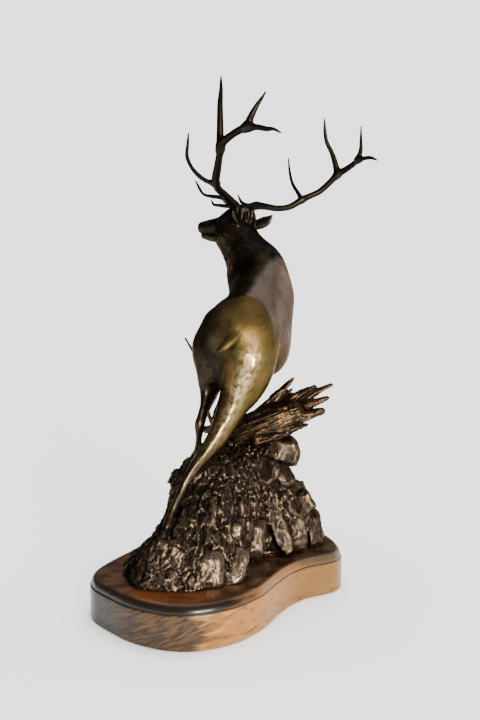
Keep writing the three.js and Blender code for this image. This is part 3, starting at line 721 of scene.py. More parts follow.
def poll_locks():
    """A row of tapering locks over the back of the head."""
    locks = []
    for k in range(POLL_LOCKS):
        share = k / (POLL_LOCKS - 1)
        root = mix(np.array(POLL_LEFT, float), np.array(POLL_RIGHT), share)
        root += np.array(POLL_BOW) * math.sin(math.pi * share)
        fall = np.array(POLL_FALL) + share * np.array(POLL_TAPER)
        fall = fall * (POLL_FALL_MEAN + POLL_FALL_VARIES * math.cos(POLL_FALL_BEAT * k))
        sway = POLL_SWAY * math.sin(POLL_SWAY_BEAT * k)
        stations = []
        for i, radius in enumerate(POLL_RADII):
            down = i / (len(POLL_RADII) - 1)
            place = root + fall * down + (sway * math.sin(math.pi * down), 0, 0)
            stations.append((*place, radius))
        locks.append(Sweep(stations, per_span=3))
    return locks


def place_on_neck(height, degrees, depth_share):
    """A point inside or on the neck, at a height and an angle round it."""
    stations = np.array(NECK, float)
    x, y, half_width, half_depth = (
        np.interp(height, stations[:, 2], stations[:, k]) for k in (0, 1, 3, 4))
    angle = math.radians(degrees)
    right = np.array(BODY_RIGHT, float)
    front = np.array((-right[1], right[0], 0))
    offset = half_width * math.cos(angle) * right + half_depth * math.sin(angle) * front
    return np.array((x, y, height)) + depth_share * offset


def mane_locks():
    """Rows of tapering locks round the front of the neck, each staggered with the one above."""
    locks = []
    for row, top in enumerate(MANE_ROWS):
        for k in range(MANE_LOCKS_PER_ROW):
            angle = MANE_FIRST_ANGLE + MANE_STEP_ANGLE * k + MANE_STAGGER_ANGLE * (row % 2)
            stations = []
            for i, (share, radius) in enumerate(zip(MANE_DEPTH_SHARES, MANE_RADII)):
                height = top - MANE_FALL * i / (len(MANE_RADII) - 1)
                stations.append((*place_on_neck(height, angle, share), radius))
            locks.append(Sweep(stations, per_span=3))
    return locks


outcrop = Outcrop(ROCK_CONTOURS)
blocks = [hewn_block(block, seed + 1) for seed, block in enumerate(BOULDERS)]
crags = [hewn_block(block, seed + 60) for seed, block in enumerate(CRAGS)]
ledge = hewn_block(LEDGE, 41)
log_butt = Sweep(LOG_BUTT, LOG_ACROSS)
splinters = [Sweep(stations, LOG_ACROSS) for stations in LOG_SPLINTERS]
twig = Sweep(TWIG, LOG_ACROSS)
torso = Sweep(TORSO, margin=TRUNK_MARGIN)
flank = Sweep(FLANK, margin=TRUNK_MARGIN)
rump = Sweep(RUMP)
tail = Sweep(TAIL)
right_hind_leg = Sweep(RIGHT_HIND_LEG)
left_hind_leg = Sweep(LEFT_HIND_LEG)
forelegs = [Sweep(LEFT_FORELEG), Sweep(RIGHT_FORELEG)]
neck = Sweep(NECK)
head = Sweep(HEAD, HEAD_LEFT)
muzzle = Sweep(MUZZLE, HEAD_LEFT)
jaw = Sweep(JAW, HEAD_LEFT)
eyes = [Sweep(stations, HEAD_LEFT) for stations in EYES]
ears = [Sweep(RIGHT_EAR, EAR_ACROSS), Sweep(LEFT_EAR, EAR_ACROSS)]
toes = [toe for hoof in HOOVES for toe in hoof_toes(hoof)]
poll = poll_locks()
mane = mane_locks()
beams = [Sweep(LEFT_BEAM), Sweep(RIGHT_BEAM)]
tines = [Sweep(stations) for stations in LEFT_TINES + RIGHT_TINES]

rock_shapes = [outcrop, *crags, *blocks, ledge]
log_shapes = [log_butt, *splinters, twig]
trunk = [torso, flank, rump, right_hind_leg, left_hind_leg, *forelegs]
head_shapes = [head, muzzle, jaw, *eyes, *ears, *poll]
elk_shapes = [*trunk, tail, neck, *mane, *head_shapes, *toes]
antler_shapes = [*beams, *tines]


# What is joined in turn, each with the size of its fillet, and the boxes that hold it.
BODY_BOX = (-128, -118, ROCK_FOOT - 4), (162, 216, 524)
ANTLER_BOX = (-52, -46, 486), (222, 240, 654)
GROUND_JOINS = [
    ([outcrop], 1.0), (crags, 6.0), ([*blocks, ledge], 2.4), ([log_butt], 3.0),
    ([*splinters, twig], 1.6),
]
ELK_JOINS = [
    ([torso, flank], 18.0), ([rump, right_hind_leg, left_hind_leg, *forelegs], 9.0), ([neck], 9.0),
    (mane, 3.5), ([tail], 3.0), ([head], 8.0), ([muzzle, jaw], 3.0), (eyes, 0.8), (ears, 2.5),
    (poll, 1.0), (toes, 1.2),
]
ANTLER_JOINS = [(beams, 1.0), (tines, 5.0)]
ELK_TO_GROUND_FILLET = 2.0


def joined(box, voxel, joins):
    field = Field(*box, voxel)
    for shapes, fillet in joins:
        field.join(shapes, fillet)
    return field


def sculpt_body():
    """The rock, the log and the elk without its antlers."""
    body = joined(BODY_BOX, BODY_VOXEL, GROUND_JOINS)
    elk = joined(BODY_BOX, BODY_VOXEL, ELK_JOINS)
    body.values = smooth_minimum(body.values, elk.values, ELK_TO_GROUND_FILLET)
    body.cut_below(ROCK_FOOT)
    return body.polygons()


# Meshes

def corner_triangles(triangles, quads):
    if len(quads):
        split = np.vstack([quads[:, [0, 1, 2]], quads[:, [0, 2, 3]]])
        triangles = np.vstack([triangles.reshape(-1, 3), split])
    return triangles.astype(np.int64)


def vertex_normals(points, faces):
    a, b, c = points[faces[:, 0]], points[faces[:, 1]], points[faces[:, 2]]
    face = np.cross(b - a, c - a)
    normals = np.zeros_like(points)
    for corner in range(3):
        for axis in range(3):
            normals[:, axis] += np.bincount(faces[:, corner], face[:, axis], len(points))
    return normals / (np.linalg.norm(normals, axis=1, keepdims=True) + 1e-12)


def smoothed(points, faces, rounds):
    """Each point moved towards the mean of its neighbours, this many times over."""
    ends = np.vstack([faces[:, [0, 1]], faces[:, [1, 2]], faces[:, [2, 0]]])
    start, end = np.concatenate([ends[:, 0], ends[:, 1]]), np.concatenate([ends[:, 1], ends[:, 0]])
    count = np.bincount(start, minlength=len(points))[:, None]
    for _ in range(rounds):
        total = np.stack([np.bincount(start, points[end, k], len(points)) for k in range(3)], 1)
        points = points * 0.4 + 0.6 * total / np.maximum(count, 1)
    return points


def new_mesh(name, points, faces):
    """A mesh object in metres from points in millimetres."""
    mesh = bpy.data.meshes.new(name)
    mesh.from_pydata(points * MILLIMETRE, [], faces)
    mesh.validate()
    obj = bpy.data.objects.new(name, mesh)
    bpy.context.scene.collection.objects.link(obj)
    return obj


def apply_modifiers(obj):
    depsgraph = bpy.context.evaluated_depsgraph_get()
    baked = bpy.data.meshes.new_from_object(obj.evaluated_get(depsgraph))
    old = obj.data
    obj.modifiers.clear()
    obj.data = baked
    bpy.data.meshes.remove(old)


def reduce_to(obj, target):
    triangles = sum(len(p.vertices) - 2 for p in obj.data.polygons)
    modifier = obj.modifiers.new("reduce", "DECIMATE")
    modifier.ratio = min(1.0, target / triangles)
    modifier.use_collapse_triangulate = True
    apply_modifiers(obj)


def join_solid(obj, other):
    modifier = obj.modifiers.new("join", "BOOLEAN")
    modifier.operation = "UNION"
    modifier.solver = "MANIFOLD"
    modifier.object = other
    apply_modifiers(obj)
    bpy.data.objects.remove(other)


def drop_pockets(obj):
    """Removes the tiny closed pockets left inside, where forms meet."""
    mesh = bmesh.new()
    mesh.from_mesh(obj.data)
    top = max(mesh.verts, key=lambda vertex: vertex.co.z)
    reached = {top}
    waiting = [top]
    while waiting:
        vertex = waiting.pop()
        for edge in vertex.link_edges:
            other = edge.other_vert(vertex)
            if other not in reached:
                reached.add(other)
                waiting.append(other)
    pockets = [vertex for vertex in mesh.verts if vertex not in reached]
    bmesh.ops.delete(mesh, geom=pockets, context="VERTS")
    mesh.to_mesh(obj.data)
    mesh.free()


def mesh_arrays(obj):
    mesh = obj.data
    mesh.calc_loop_triangles()
    points = np.zeros(len(mesh.vertices) * 3, np.float32)
    mesh.vertices.foreach_get("co", points)
    faces = np.zeros(len(mesh.loop_triangles) * 3, np.int32)
    mesh.loop_triangles.foreach_get("vertices", faces)
    return points.reshape(-1, 3).astype(float) / MILLIMETRE, faces.reshape(-1, 3)


def set_attribute(obj, name, values):
    attribute = obj.data.attributes.new(name, "FLOAT", "POINT")
    attribute.data.foreach_set("value", np.asarray(values, np.float32))


# Carving

def strokes(shape, points, length, width, seed):
    """The distance to a swept form, and hair strokes along it from about -1 to 1."""
    distance, along, around = shape.coordinates(points)
    place = shaken(np.column_stack([along / length, around / width]), 1.7, 0.5, seed + 11)
    ridge = noise(place, seed) + 0.6 * noise(place * (1.7, 2.3, 2.3) + 5.7, seed + 5)
    return distance, ridge


def ridge_share(points, path, width):
    """1 on a path, falling to 0 within about twice this width to either side."""
    path = np.array(path, float)
    nearest = np.full(len(points), VERY_FAR)
    for a, b in zip(path, path[1:]):
        run = b - a
        share = np.clip((points - a) @ run / (run @ run), 0, 1)
        nearest = np.minimum(nearest, np.linalg.norm(points - a - share[:, None] * run, axis=1))
    return np.exp(-(nearest / width) ** 2)


def lumps(points, seed):
    """Rounded lumps parted by sharp creases, from about -0.5 to 1."""
    return 2.4 * np.abs(noise(points, seed)) - 0.5


# Chips of the rock: size, how far they stand out in front and on the plainer back, seed.
ROCK_CHIPS = [
    ((14, 14, 34), 2.6, 3.8, 80),
    ((7.5, 7.5, 17), 2.0, 0.9, 84),
    ((3.8, 3.8, 7.5), 0.9, 0.5, 88),
]
ROCK_PEAK = (15, 40, 201)
ROCK_SPREAD_HEIGHT = 150
PLAIN_BACK = (15, 75)


def rock_relief(points):
    """Chipped upright columns that spread out downhill, with smaller chips on each."""
    drop = 1 + (ROCK_PEAK[2] - points[:, 2:]) / ROCK_SPREAD_HEIGHT
    spread = np.column_stack([(points[:, :2] - ROCK_PEAK[:2]) / drop * 1.5, points[:, 2] * 0.9])
    placed = shaken(spread, 11, 3.5, 61)
    plain = smoothstep(*PLAIN_BACK, points[:, 1])
    height = 1.8 * noise(points / 22, 91) + 0.3 * noise(placed / (1.9, 1.9, 3.6), 93)
    for size, front, back, seed in ROCK_CHIPS:
        height += mix(front, back, plain) * facets(placed / size, seed)
    return height + mix(0.8, 0.3, plain) * lumps(placed / (8, 8, 18), 92)


# How far right a slab has to lie before its faces are worn smooth.
WORN_EDGE = (42, 64)


def block_relief(points):
    """Chiselled grain that sweeps across the lower slabs; the boulders above are worn smooth."""
    bent = shaken(points, 16, 7, 100)
    grain = 0.8 - 1.6 * np.abs(noise(bent / (4.2, 4.2, 15), 103))
    chips = 0.6 * facets(bent / (8, 8, 15), 107)
    worn = 0.8 * noise(points / 13, 104) + 0.45 * noise(bent / (5, 5, 12), 106)
    worn += 0.12 * noise(points / 2.2, 105)
    return mix(grain, chips, smoothstep(*WORN_EDGE, points[:, 0])) + worn


# How fast the relief of one splinter or limb gives way to that of the next, in millimetres.
SPLINTER_BLEND = 1.6
LIMB_BLEND = 2.0
# What stands for nothing being near, so that the twig isn't carved as a part of the log.
NO_FORM_WEIGHT = 0.02


def log_relief(points):
    """Long splinters side by side, split apart along the grain."""
    total = 0
    weight = NO_FORM_WEIGHT
    for seed, shape in enumerate([log_butt, *splinters]):
        distance, along, around = shape.coordinates(points)
        place = shaken(np.column_stack([along / 42, around / 4.6]), 1.2, 0.35, 110 + seed)
        split, name = cells(place, 115 + 3 * seed)
        flake = 2.4 * (name - 0.5) + 1.1 * (smoothstep(0.0, 0.3, split) - 1)
        fibre = 0.45 * noise(place * (1.2, 3.1, 3.1), 112 + seed)
        share = np.exp(-np.clip(distance, -4, FAR) / SPLINTER_BLEND)
        total = total + share * (flake + fibre)
        weight = weight + share
    return total / weight


# Hair: form, length and width of a stroke, depth, seed.
HAIR = [
    (torso, 20, 3.4, 0.16, 0),
    (flank, 20, 3.4, 0.16, 1),
    (rump, 12, 2.8, 0.3, 2),
    (tail, 16, 2.6, 0.4, 3),
    (right_hind_leg, 24, 3.0, 0.22, 4),
    (left_hind_leg, 24, 3.0, 0.25, 5),
    (forelegs[0], 20, 2.4, 0.2, 6),
    (forelegs[1], 20, 2.4, 0.2, 7),
    (neck, 26, 4.2, 0.8, 8),
    (head, 12, 2.4, 0.25, 9),
    (jaw, 12, 2.6, 0.3, 10),
]

# Muscles and bones under the skin: a path, its width, and its height or, below 0, its depth.
SPINE = [(17, -34, 348), (28, -5, 374), (38, 20, 391), (50, 50, 409), (60, 90, 431), (64, 114, 443)]
FORMS = [
    (SPINE, 14, 1.2),
    ([(38, -36, 300), (27, -36, 284), (12, -33, 247), (-6, -36, 215), (-21, -41, 194)], 12, 2.2),
    ([(18, -33, 306), (15, -29, 272), (3, -30, 236)], 8, -1.4),
    ([(52, -34, 318), (38, -36, 316), (23, -35, 319)], 4, -0.7),
    ([(58, -28, 330), (50, -30, 300), (38, -26, 270)], 12, -1.2),
    ([(10, -42, 322), (1, -44, 314), (-3, -34, 298), (-5, -22, 276)], 7, -4.0),
    ([(-2, 159, 494.5), (-9, 165, 494)], 3.4, 1.0),
    ([(14, 181, 494.5), (7, 187, 494)], 3.4, 1.0),
    ([(-5, 160, 484), (-12, 167, 482)], 4.5, -0.8),
    ([(12, 183, 484), (5, 190, 482)], 4.5, -0.8),
    ([(-38, 193, 482), (-40, 195, 480)], 2.6, -1.6),
    ([(-33, 203, 482), (-36, 201, 480)], 2.6, -1.6),
    ([(66, 8, 372), (72, 2, 350)], 16, 1.6),
    ([(84, 92, 420), (92, 100, 380), (84, 110, 350)], 22, 2.0),
    ([(-19, 6, 300), (-21, 0, 265), (-24, -10, 232)], 6, 1.0),
]


def elk_relief(points):
    """Hair along each limb, then muscles and bones, then the raised hair of the rump patch."""
    total = 0
    weight = 1e-6
    for shape, length, width, depth, seed in HAIR:
        distance, ridge = strokes(shape, points, length, width, 140 + 17 * seed)
        share = np.exp(-np.clip(distance, -6, FAR) / LIMB_BLEND)
        total = total + share * ridge * depth
        weight = weight + share
    height = total / weight + 0.3 * noise(points / 14, 260)
    for path, width, rise in FORMS:
        height += rise * ridge_share(points, path, width * 0.6)
    return height + 0.5 * rump_patch(points)


RUMP_CENTRE = (14, -20, 336)
RUMP_REACH = (49, 50, 60)


def rump_patch(points):
    """The pale patch of longer hair around the tail, as a share from 0 to 1."""
    away = np.linalg.norm((points - RUMP_CENTRE) / RUMP_REACH, axis=1)
    return smoothstep(1.03, 0.97, away + 0.03 * noise(points / 5, 270))


def smooth_trunk(points, faces):
    """Evens out the rings that the stations leave on the big rounded forms."""
    thigh = smoothstep(4, 1, distance_at([right_hind_leg, left_hind_leg], points))
    thigh *= smoothstep(250, 275, points[:, 2])
    share = np.maximum(smoothstep(7, 3, distance_at([torso, flank, rump, neck], points)), thigh)
    share *= smoothstep(-1, 3, distance_at([*head_shapes, tail], points))
    return mix(points, smoothed(points, faces, TRUNK_SMOOTHING), share[:, None])


def carve(points, faces):
    """Moves the skin of the body in and out along its normals."""
    zones = [
        ([outcrop, *crags], rock_relief),
        ([*blocks, ledge], block_relief),
        (log_shapes, log_relief),
        (elk_shapes, elk_relief),
    ]
    skin = np.stack([distance_at(shapes, points) for shapes, _ in zones])
    share = np.exp(-np.clip(skin, -3, FAR))
    share /= share.sum(0)
    height = np.zeros(len(points))
    for own, (_, relief) in zip(share, zones):
        used = own > 0.02
        height[used] += own[used] * relief(points[used])
    foot = smoothstep(ROCK_FOOT, ROCK_FOOT + 1.5, points[:, 2])
    moved = points + vertex_normals(points, faces) * (height * foot)[:, None]
    moved[:, 2] = np.where(foot > 0, np.maximum(moved[:, 2], ROCK_FOOT), moved[:, 2])
    return moved


# Materials

class Nodes:
    """A small helper for building a material's nodes."""

    def __init__(self, name):
        self.material = bpy.data.materials.new(name)
        self.material.use_nodes = True
        self.tree = self.material.node_tree
        self.tree.nodes.clear()
        self.shader = self.add("ShaderNodeBsdfPrincipled")
        self.feed(self.add("ShaderNodeOutputMaterial"), "Surface", self.shader.outputs["BSDF"])

    def add(self, kind, **settings):
        node = self.tree.nodes.new(kind)
        for key, value in settings.items():
            setattr(node, key, value)
        return node

    def feed(self, node, key, value):
        """Links a socket to another node's output, or sets it to a number or a colour's digits."""
        socket = node.inputs[key]
        if isinstance(value, str):
            socket.default_value = rgb(value)
        elif isinstance(value, (int, float)):
            socket.default_value = value
        else:
            self.tree.links.new(value, socket)

    def attribute(self, name):
        return self.add("ShaderNodeAttribute", attribute_name=name).outputs["Fac"]

    def place(self):
        return self.add("ShaderNodeTexCoord").outputs["Object"]

    def stretched(self, scale, kind="POINT", tilt=0):
        """Places stretched along the axes. The TEXTURE kind tilts them first."""
        node = self.add("ShaderNodeMapping", vector_type=kind)
        self.feed(node, "Vector", self.place())
        node.inputs["Rotation"].default_value = (0, math.radians(tilt), 0)
        node.inputs["Scale"].default_value = scale
        return node.outputs["Vector"]

    def noise(self, scale, detail=4.0, vector=None, distortion=0.0):
        node = self.add("ShaderNodeTexNoise")
        self.feed(node, "Vector", vector or self.place())
        self.feed(node, "Scale", scale)
        self.feed(node, "Detail", detail)
        self.feed(node, "Distortion", distortion)
        return node.outputs["Fac"]

    def ramp(self, value, low, high, start=0.0, end=1.0):
        node = self.add("ShaderNodeMapRange", interpolation_type="SMOOTHSTEP")
        for key, number in zip(("Value", "From Min", "From Max", "To Min", "To Max"),
                               (value, low, high, start, end)):
            self.feed(node, key, number)
        return node.outputs["Result"]

    def math(self, operation, first, *others):
        """An operation on two values, or on each next value in turn."""
        for other in others:
            node = self.add("ShaderNodeMath", operation=operation)
            self.feed(node, 0, first)
            self.feed(node, 1, other)
            first = node.outputs[0]
        return first

    def blend(self, share, a, b):
        """Colour a where share is 0 and colour b where it is 1."""
        node = self.add("ShaderNodeMix", data_type="RGBA")
        for key, value in zip((0, 6, 7), (share, a, b)):
            self.feed(node, key, value)
        return node.outputs[2]

    def bump(self, height, strength, distance):
        node = self.add("ShaderNodeBump")
        self.feed(node, "Height", height)
        self.feed(node, "Strength", strength)
        self.feed(node, "Distance", distance)
        self.feed(self.shader, "Normal", node.outputs["Normal"])

    def finish(self, colour, roughness, **plain):
        self.feed(self.shader, "Base Color", colour)
        self.feed(self.shader, "Roughness", roughness)
        for name, value in plain.items():
            self.shader.inputs[name].default_value = value
        return self.material


def rgb(digits):
    """A colour from its six hexadecimal digits, in the linear values that shaders use."""
    parts = [int(digits[k:k + 2], 16) / 255 for k in (0, 2, 4)]
    linear = [c / 12.92 if c <= 0.04045 else ((c + 0.055) / 1.055) ** 2.4 for c in parts]
    return (*linear, 1.0)


def bronze_material():
    """Layers of patina: near black, grey, olive gold, rock brown, bark brown and rust, with wear, a
    burnish that is partly a painted highlight, and painted shade.
    """
    n = Nodes("patinated_bronze")
    mottle = n.noise(34, 5)
    fine = n.noise(170, 4)
    cloud = n.noise(11, 3)
    high = n.attribute("high")
    rock, log = n.attribute("rock"), n.attribute("log")
    ground = n.math("MAXIMUM", rock, log)

    black = n.blend(n.ramp(mottle, 0.35, 0.7), "181511", "2a231b")
    black = n.blend(n.attribute("horn"), black, "0c0a08")
    grey = n.blend(n.ramp(cloud, 0.35, 0.65), "655950", "776a60")
    grey = n.blend(n.ramp(mottle, 0.55, 0.75, 0.0, 0.5), grey, "4d4034")
    gold = n.blend(n.ramp(mottle, 0.3, 0.7), "453919", "5c4a28")
    gold = n.blend(n.ramp(cloud, 0.5, 0.62, 0.0, 0.6), gold, "4c411a")
    stone = n.blend(n.ramp(mottle, 0.3, 0.72), "1f1913", "3d332a")
    bark = n.blend(n.ramp(n.noise(60, 4), 0.35, 0.7), "241a13", "453524")
    # The burnish layer on the right hind leg is partly wear and partly a painted highlight.
    colour = black
    for name, layer in (("grey", grey), ("gold", gold), ("rock", stone), ("log", bark),
                        ("rust", "4a260f"), ("worn", "7b6a59"), ("burnish_and_highlight", "dcc093")):
        colour = n.blend(n.attribute(name), colour, layer)

    rubbed = n.math(
        "MULTIPLY", n.ramp(high, 0.6, 1.0), n.ramp(fine, 0.3, 0.6, 0.5, 1.0),
        n.ramp(ground, 0.0, 1.0, 0.08, 0.4), n.ramp(log, 0.0, 1.0, 1.0, 0.3))
    sunk = n.math("MULTIPLY", n.ramp(high, 0.45, 0.05), n.ramp(ground, 0.0, 1.0, 0.4, 0.8))
    colour = n.blend(rubbed, colour, "7d6850")
    # Near black: the patina in the hollows, and painted shade from the shade attribute.
    colour = n.blend(n.math("MAXIMUM", sunk, n.attribute("shade")), colour, "080604")

    roughness = n.math(
        "ADD", n.ramp(fine, 0.3, 0.7, 0.26, 0.38), n.ramp(high, 0.5, 0.1, 0.0, 0.25),
        n.math("MULTIPLY", n.attribute("matte"), 0.22))
    n.bump(n.math("ADD", n.noise(420, 3), n.noise(150, 3)), 0.35, 0.0006)
    return n.finish(colour, roughness, **{
        "Metallic": 0.94, "Coat Weight": 0.04, "Coat Roughness": 0.25,
        "Specular Tint": (0.5, 0.45, 0.4, 1)})


def wood_material():
    """Walnut: dark heartwood to the left, pale sapwood to the right, with an oiled top. Painted
    shade darkens the far left of the side, the rounded lip and the quirk, and the lip also carries
    a painted reflection.
    """
    n = Nodes("oiled_hardwood")
    spot = n.add("ShaderNodeSeparateXYZ")
    n.feed(spot, "Vector", n.place())
    across, height = spot.outputs["X"], spot.outputs["Z"]
    along = n.stretched((1.0, 1.6, 6.0))
    slanted = n.stretched((1.0, 1.0, 0.16), "TEXTURE", -28)
    grain = n.noise(26, 6, along, 0.8)
    fibre = n.noise(120, 4, n.stretched((0.5, 1.0, 7.0)))
    edge = n.math("ADD", across, n.ramp(n.noise(22, 4, along), 0.2, 0.8, -0.02, 0.02))

    heart_and_shade = n.blend(n.ramp(n.noise(34, 5, slanted, 1.2), 0.36, 0.62), "20170e", "4c361e")
    # Painted shade: the far left of the side darkens towards black.
    heart_and_shade = n.blend(n.ramp(edge, -0.15, -0.07, 0.85, 0.0), heart_and_shade, "12100d")
    sap = n.blend(n.ramp(grain, 0.3, 0.72), "775123", "a1773c")
    sap = n.blend(n.ramp(n.noise(8, 3), 0.46, 0.6, 0.0, 0.7), sap, "8c5a2a")
    sap = n.blend(n.ramp(n.noise(16, 5, along, 1.6), 0.56, 0.68, 0.0, 0.8), sap, "523316")
    sap = n.blend(n.ramp(edge, 0.03, 0.12, 0.0, 0.75), sap, "5f4420")
    side = n.blend(n.ramp(edge, -0.03, -0.008), heart_and_shade, sap)
    # Orange-brown patches on the top near its front-left edge.
    orange_patches = n.math(
        "MULTIPLY", n.ramp(n.noise(14, 4, along, 0.8), 0.42, 0.68), n.ramp(across, 0.03, -0.04),
        n.ramp(across, -0.14, -0.11), 0.8)
    top = n.blend(n.ramp(grain, 0.35, 0.7), "1b120b", "3c2a1a")
    top = n.blend(orange_patches, top, "4e280f")
    # The rounded lip: brown wood with painted shade that is near black to the left, and a painted
    # grey reflection to the right.
    lip_with_painted_shade = n.blend(n.ramp(edge, 0.0, 0.06), "15100b", "6f4a2c")
    lip_with_painted_shade = n.blend(n.ramp(edge, 0.085, 0.12), lip_with_painted_shade, "453828")
    colour = n.blend(n.ramp(height, 0.0400, 0.0412), side, lip_with_painted_shade)
    colour = n.blend(n.ramp(height, 0.0486, 0.0508), colour, top)
    # A painted shadow line along the quirk.
    colour = n.blend(n.attribute("line"), colour, "0d0704")
    n.bump(fibre, 0.12, 0.0004)
    return n.finish(colour, n.ramp(fibre, 0.3, 0.7, 0.24, 0.38), **{
        "Coat Weight": 0.12, "Coat Roughness": 0.14, "Specular IOR Level": 0.22})


def floor_material():
    n = Nodes("pale_floor")
    colour = n.blend(n.noise(3, 2), "f6f5f3", "faf9f8")
    return n.finish(colour, n.ramp(n.noise(5, 2), 0.0, 1.0, 0.75, 0.85))


# The pieces

def make_bronze(material):
    points, triangles, quads = sculpt_body()
    corners = corner_triangles(triangles, quads)
    points = carve(smooth_trunk(points, corners), corners)
    bronze = new_mesh("bronze_elk", points, [*triangles.tolist(), *quads.tolist()])
    reduce_to(bronze, BRONZE_TRIANGLES * BODY_SHARE)
    points, triangles, quads = joined(ANTLER_BOX, ANTLER_VOXEL, ANTLER_JOINS).polygons()
    antlers = new_mesh("antlers", points, [*triangles.tolist(), *quads.tolist()])
    reduce_to(antlers, BRONZE_TRIANGLES * (1 - BODY_SHARE))
    join_solid(bronze, antlers)
    drop_pockets(bronze)
    paint(bronze)
    bronze.data.materials.clear()
    bronze.data.materials.append(material)
    bronze.data.shade_smooth()
    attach(bronze, "root")
    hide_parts("bronze_elk_on_rock")


def paint(obj):
    """Stores where each patina, the painted shade and the painted highlight lie, as shares from 0
    to 1.
    """
    points, faces = mesh_arrays(obj)
    sunk = ((smoothed(points, faces, 6) - points) * vertex_normals(points, faces)).sum(1)
    rock = distance_at(rock_shapes, points)
    log = distance_at(log_shapes, points)
    elk = distance_at([*elk_shapes, *antler_shapes], points)
    stone = smoothstep(-0.6, 0.6, elk - np.minimum(rock, log))
    horn = smoothstep(1.5, -1, distance_at(antler_shapes, points)) * (points[:, 2] > HORN_FOOT)
    grey = grey_share(points)
    matte = np.maximum(rump_patch(points) * smoothstep(304, 322, points[:, 2]), 0.5 * grey)
    zones = {
        "high": np.clip(0.5 - sunk * 0.9, 0, 1),
        "rock": stone,
        "log": smoothstep(-0.6, 0.6, np.minimum(elk, rock) - log),
        "gold": gold_share(points) * (1 - stone),
        "grey": grey * (1 - stone),
        "rust": 0.8 * rust_share(points),
        "worn": worn_share(points),
        "burnish_and_highlight": rubbed_highlight_share(points) * (1 - stone),
        "horn": horn,
        "matte": np.maximum(np.maximum(horn, matte) * (1 - stone), 0.4 * stone),
        "shade": painted_shade_share(points),
    }
    for name, values in zones.items():
        set_attribute(obj, name, values)


# Where the patinas, the painted shade and the painted highlight lie: a direction across the spine,
# and the paths of folds and streaks.
HORN_FOOT = 496
MANE_EDGE_NORMAL = (0.93, -0.33, -0.12)
# The fold under the tail, along which shade is painted.
TAIL_FOLD = [(12, -40, 325), (1, -44, 313), (-3, -34, 298), (-5, -22, 270)]
# The path of the rubbed streak and painted highlight down the right hind leg.
RUBBED_HIGHLIGHT_PATH = [
    (36, -36, 311), (29, -36, 288), (14, -33, 250), (-4, -36, 215), (-21, -42, 194),
    (-58, -66, 122),
]
RUST_STREAKS = [
    ([(10, -32, 304), (5, -29, 275), (-3, -31, 245), (-10, -34, 225)], 8),
    ([(84, 20, 325), (80, 34, 295), (70, 70, 285)], 12),
    ([(98, 50, 236), (132, 50, 240)], 10),
]


def gold_share(points):
    """The rump patch, with its left side left black as painted shade, and the right hind leg down
    to the hock.
    """
    leg = distance_at([right_hind_leg], points)
    other = distance_at([flank, torso, left_hind_leg], points)
    height = points[:, 2]
    leg_share = smoothstep(6, -2, leg - other) * smoothstep(3, 1, leg)
    leg_share *= smoothstep(178, 215, height) * smoothstep(345, 325, height)
    rightward = (points - (8, -30, 335)) @ unit(BODY_RIGHT)
    # The gold fades out to the left: painted shade on the side turned from the light.
    patch = rump_patch(points) * smoothstep(-30, 16, rightward) * smoothstep(286, 322, height)
    return np.maximum(patch, leg_share)


def grey_share(points):
    """The back right of the spine, and both flanks below the mane. The black left of the spine is
    partly the dark mane and partly painted shade, and the grey thinning out low on the body is
    partly darker belly patina and partly painted shade.
    """
    height = points[:, 2]
    rightward = (points - (50, 50, 409)) @ unit(MANE_EDGE_NORMAL)
    # Grey stops at the spine: the black to its left is partly the mane and partly painted shade.
    right = smoothstep(-4, 6, rightward + 3 * noise(points / 12, 300))
    low = smoothstep(384, 350, height + 8 * noise(points / 14, 301))
    body = smoothstep(9, 4, distance_at([torso, flank], points))
    # Low on the body the grey thins: partly the darker belly patina, partly painted shade under it.
    body *= mix(0.3, 1, smoothstep(318, 368, height)) * (1 - 0.85 * rump_patch(points))
    return np.maximum(right, 0.8 * low) * body


def rust_share(points):
    total = sum(ridge_share(points, path, width) for path, width in RUST_STREAKS)
    return np.clip(total * (0.7 + 0.5 * noise(points / 8, 310)), 0, 1)


def worn_share(points):
    """The faces of the slabs, rubbed bright at the front and less so to the right."""
    face = smoothstep(1.5, -0.5, distance_at(blocks, points))
    return face * mix(0.9, 0.1, smoothstep(28, 60, points[:, 0]))


def rubbed_highlight_share(points):
    """The back of the right hind leg, rubbed bright in slanting strokes: partly wear, partly a
    painted highlight.
    """
    x, y, z = points.T
    slanted = np.column_stack([x + 0.8 * z, y, z - x])
    stroke = noise(slanted / (12, 12, 2.6), 320) + 0.5 * noise(slanted / (5, 5, 1.4), 321)
    bright = smoothstep(-0.6, 0.4, stroke) * mix(0.1, 0.9, smoothstep(195, 260, z))
    return bright * ridge_share(points, RUBBED_HIGHLIGHT_PATH, 9.5)


def painted_shade_share(points):
    """Painted shade: the fold under the tail and the inside of the thighs, the slabs on the right
    that face the lamps, and the bottom-left corner of the rock, all darkened towards black. The
    poll locks are darkened as well.
    """
    fold = 0.9 * ridge_share(points, TAIL_FOLD, 10)
    boulder = smoothstep(1.5, -0.5, distance_at(blocks, points)) * smoothstep(44, 62, points[:, 0])
    locks = smoothstep(2.5, 0, distance_at(poll, points))
    corner = smoothstep(-72, -108, points[:, 0]) * (points[:, 2] < 150)
    return np.clip(np.maximum(fold, 0.55 * boulder + 0.85 * locks + 0.5 * corner), 0, 1)


def inset_outline(outline, inset):
    before, after = np.roll(outline, 1, axis=0), np.roll(outline, -1, axis=0)
    run = after - before
    inward = np.stack([-run[:, 1], run[:, 0]], axis=1)
    return outline + inset * inward / np.linalg.norm(inward, axis=1, keepdims=True)


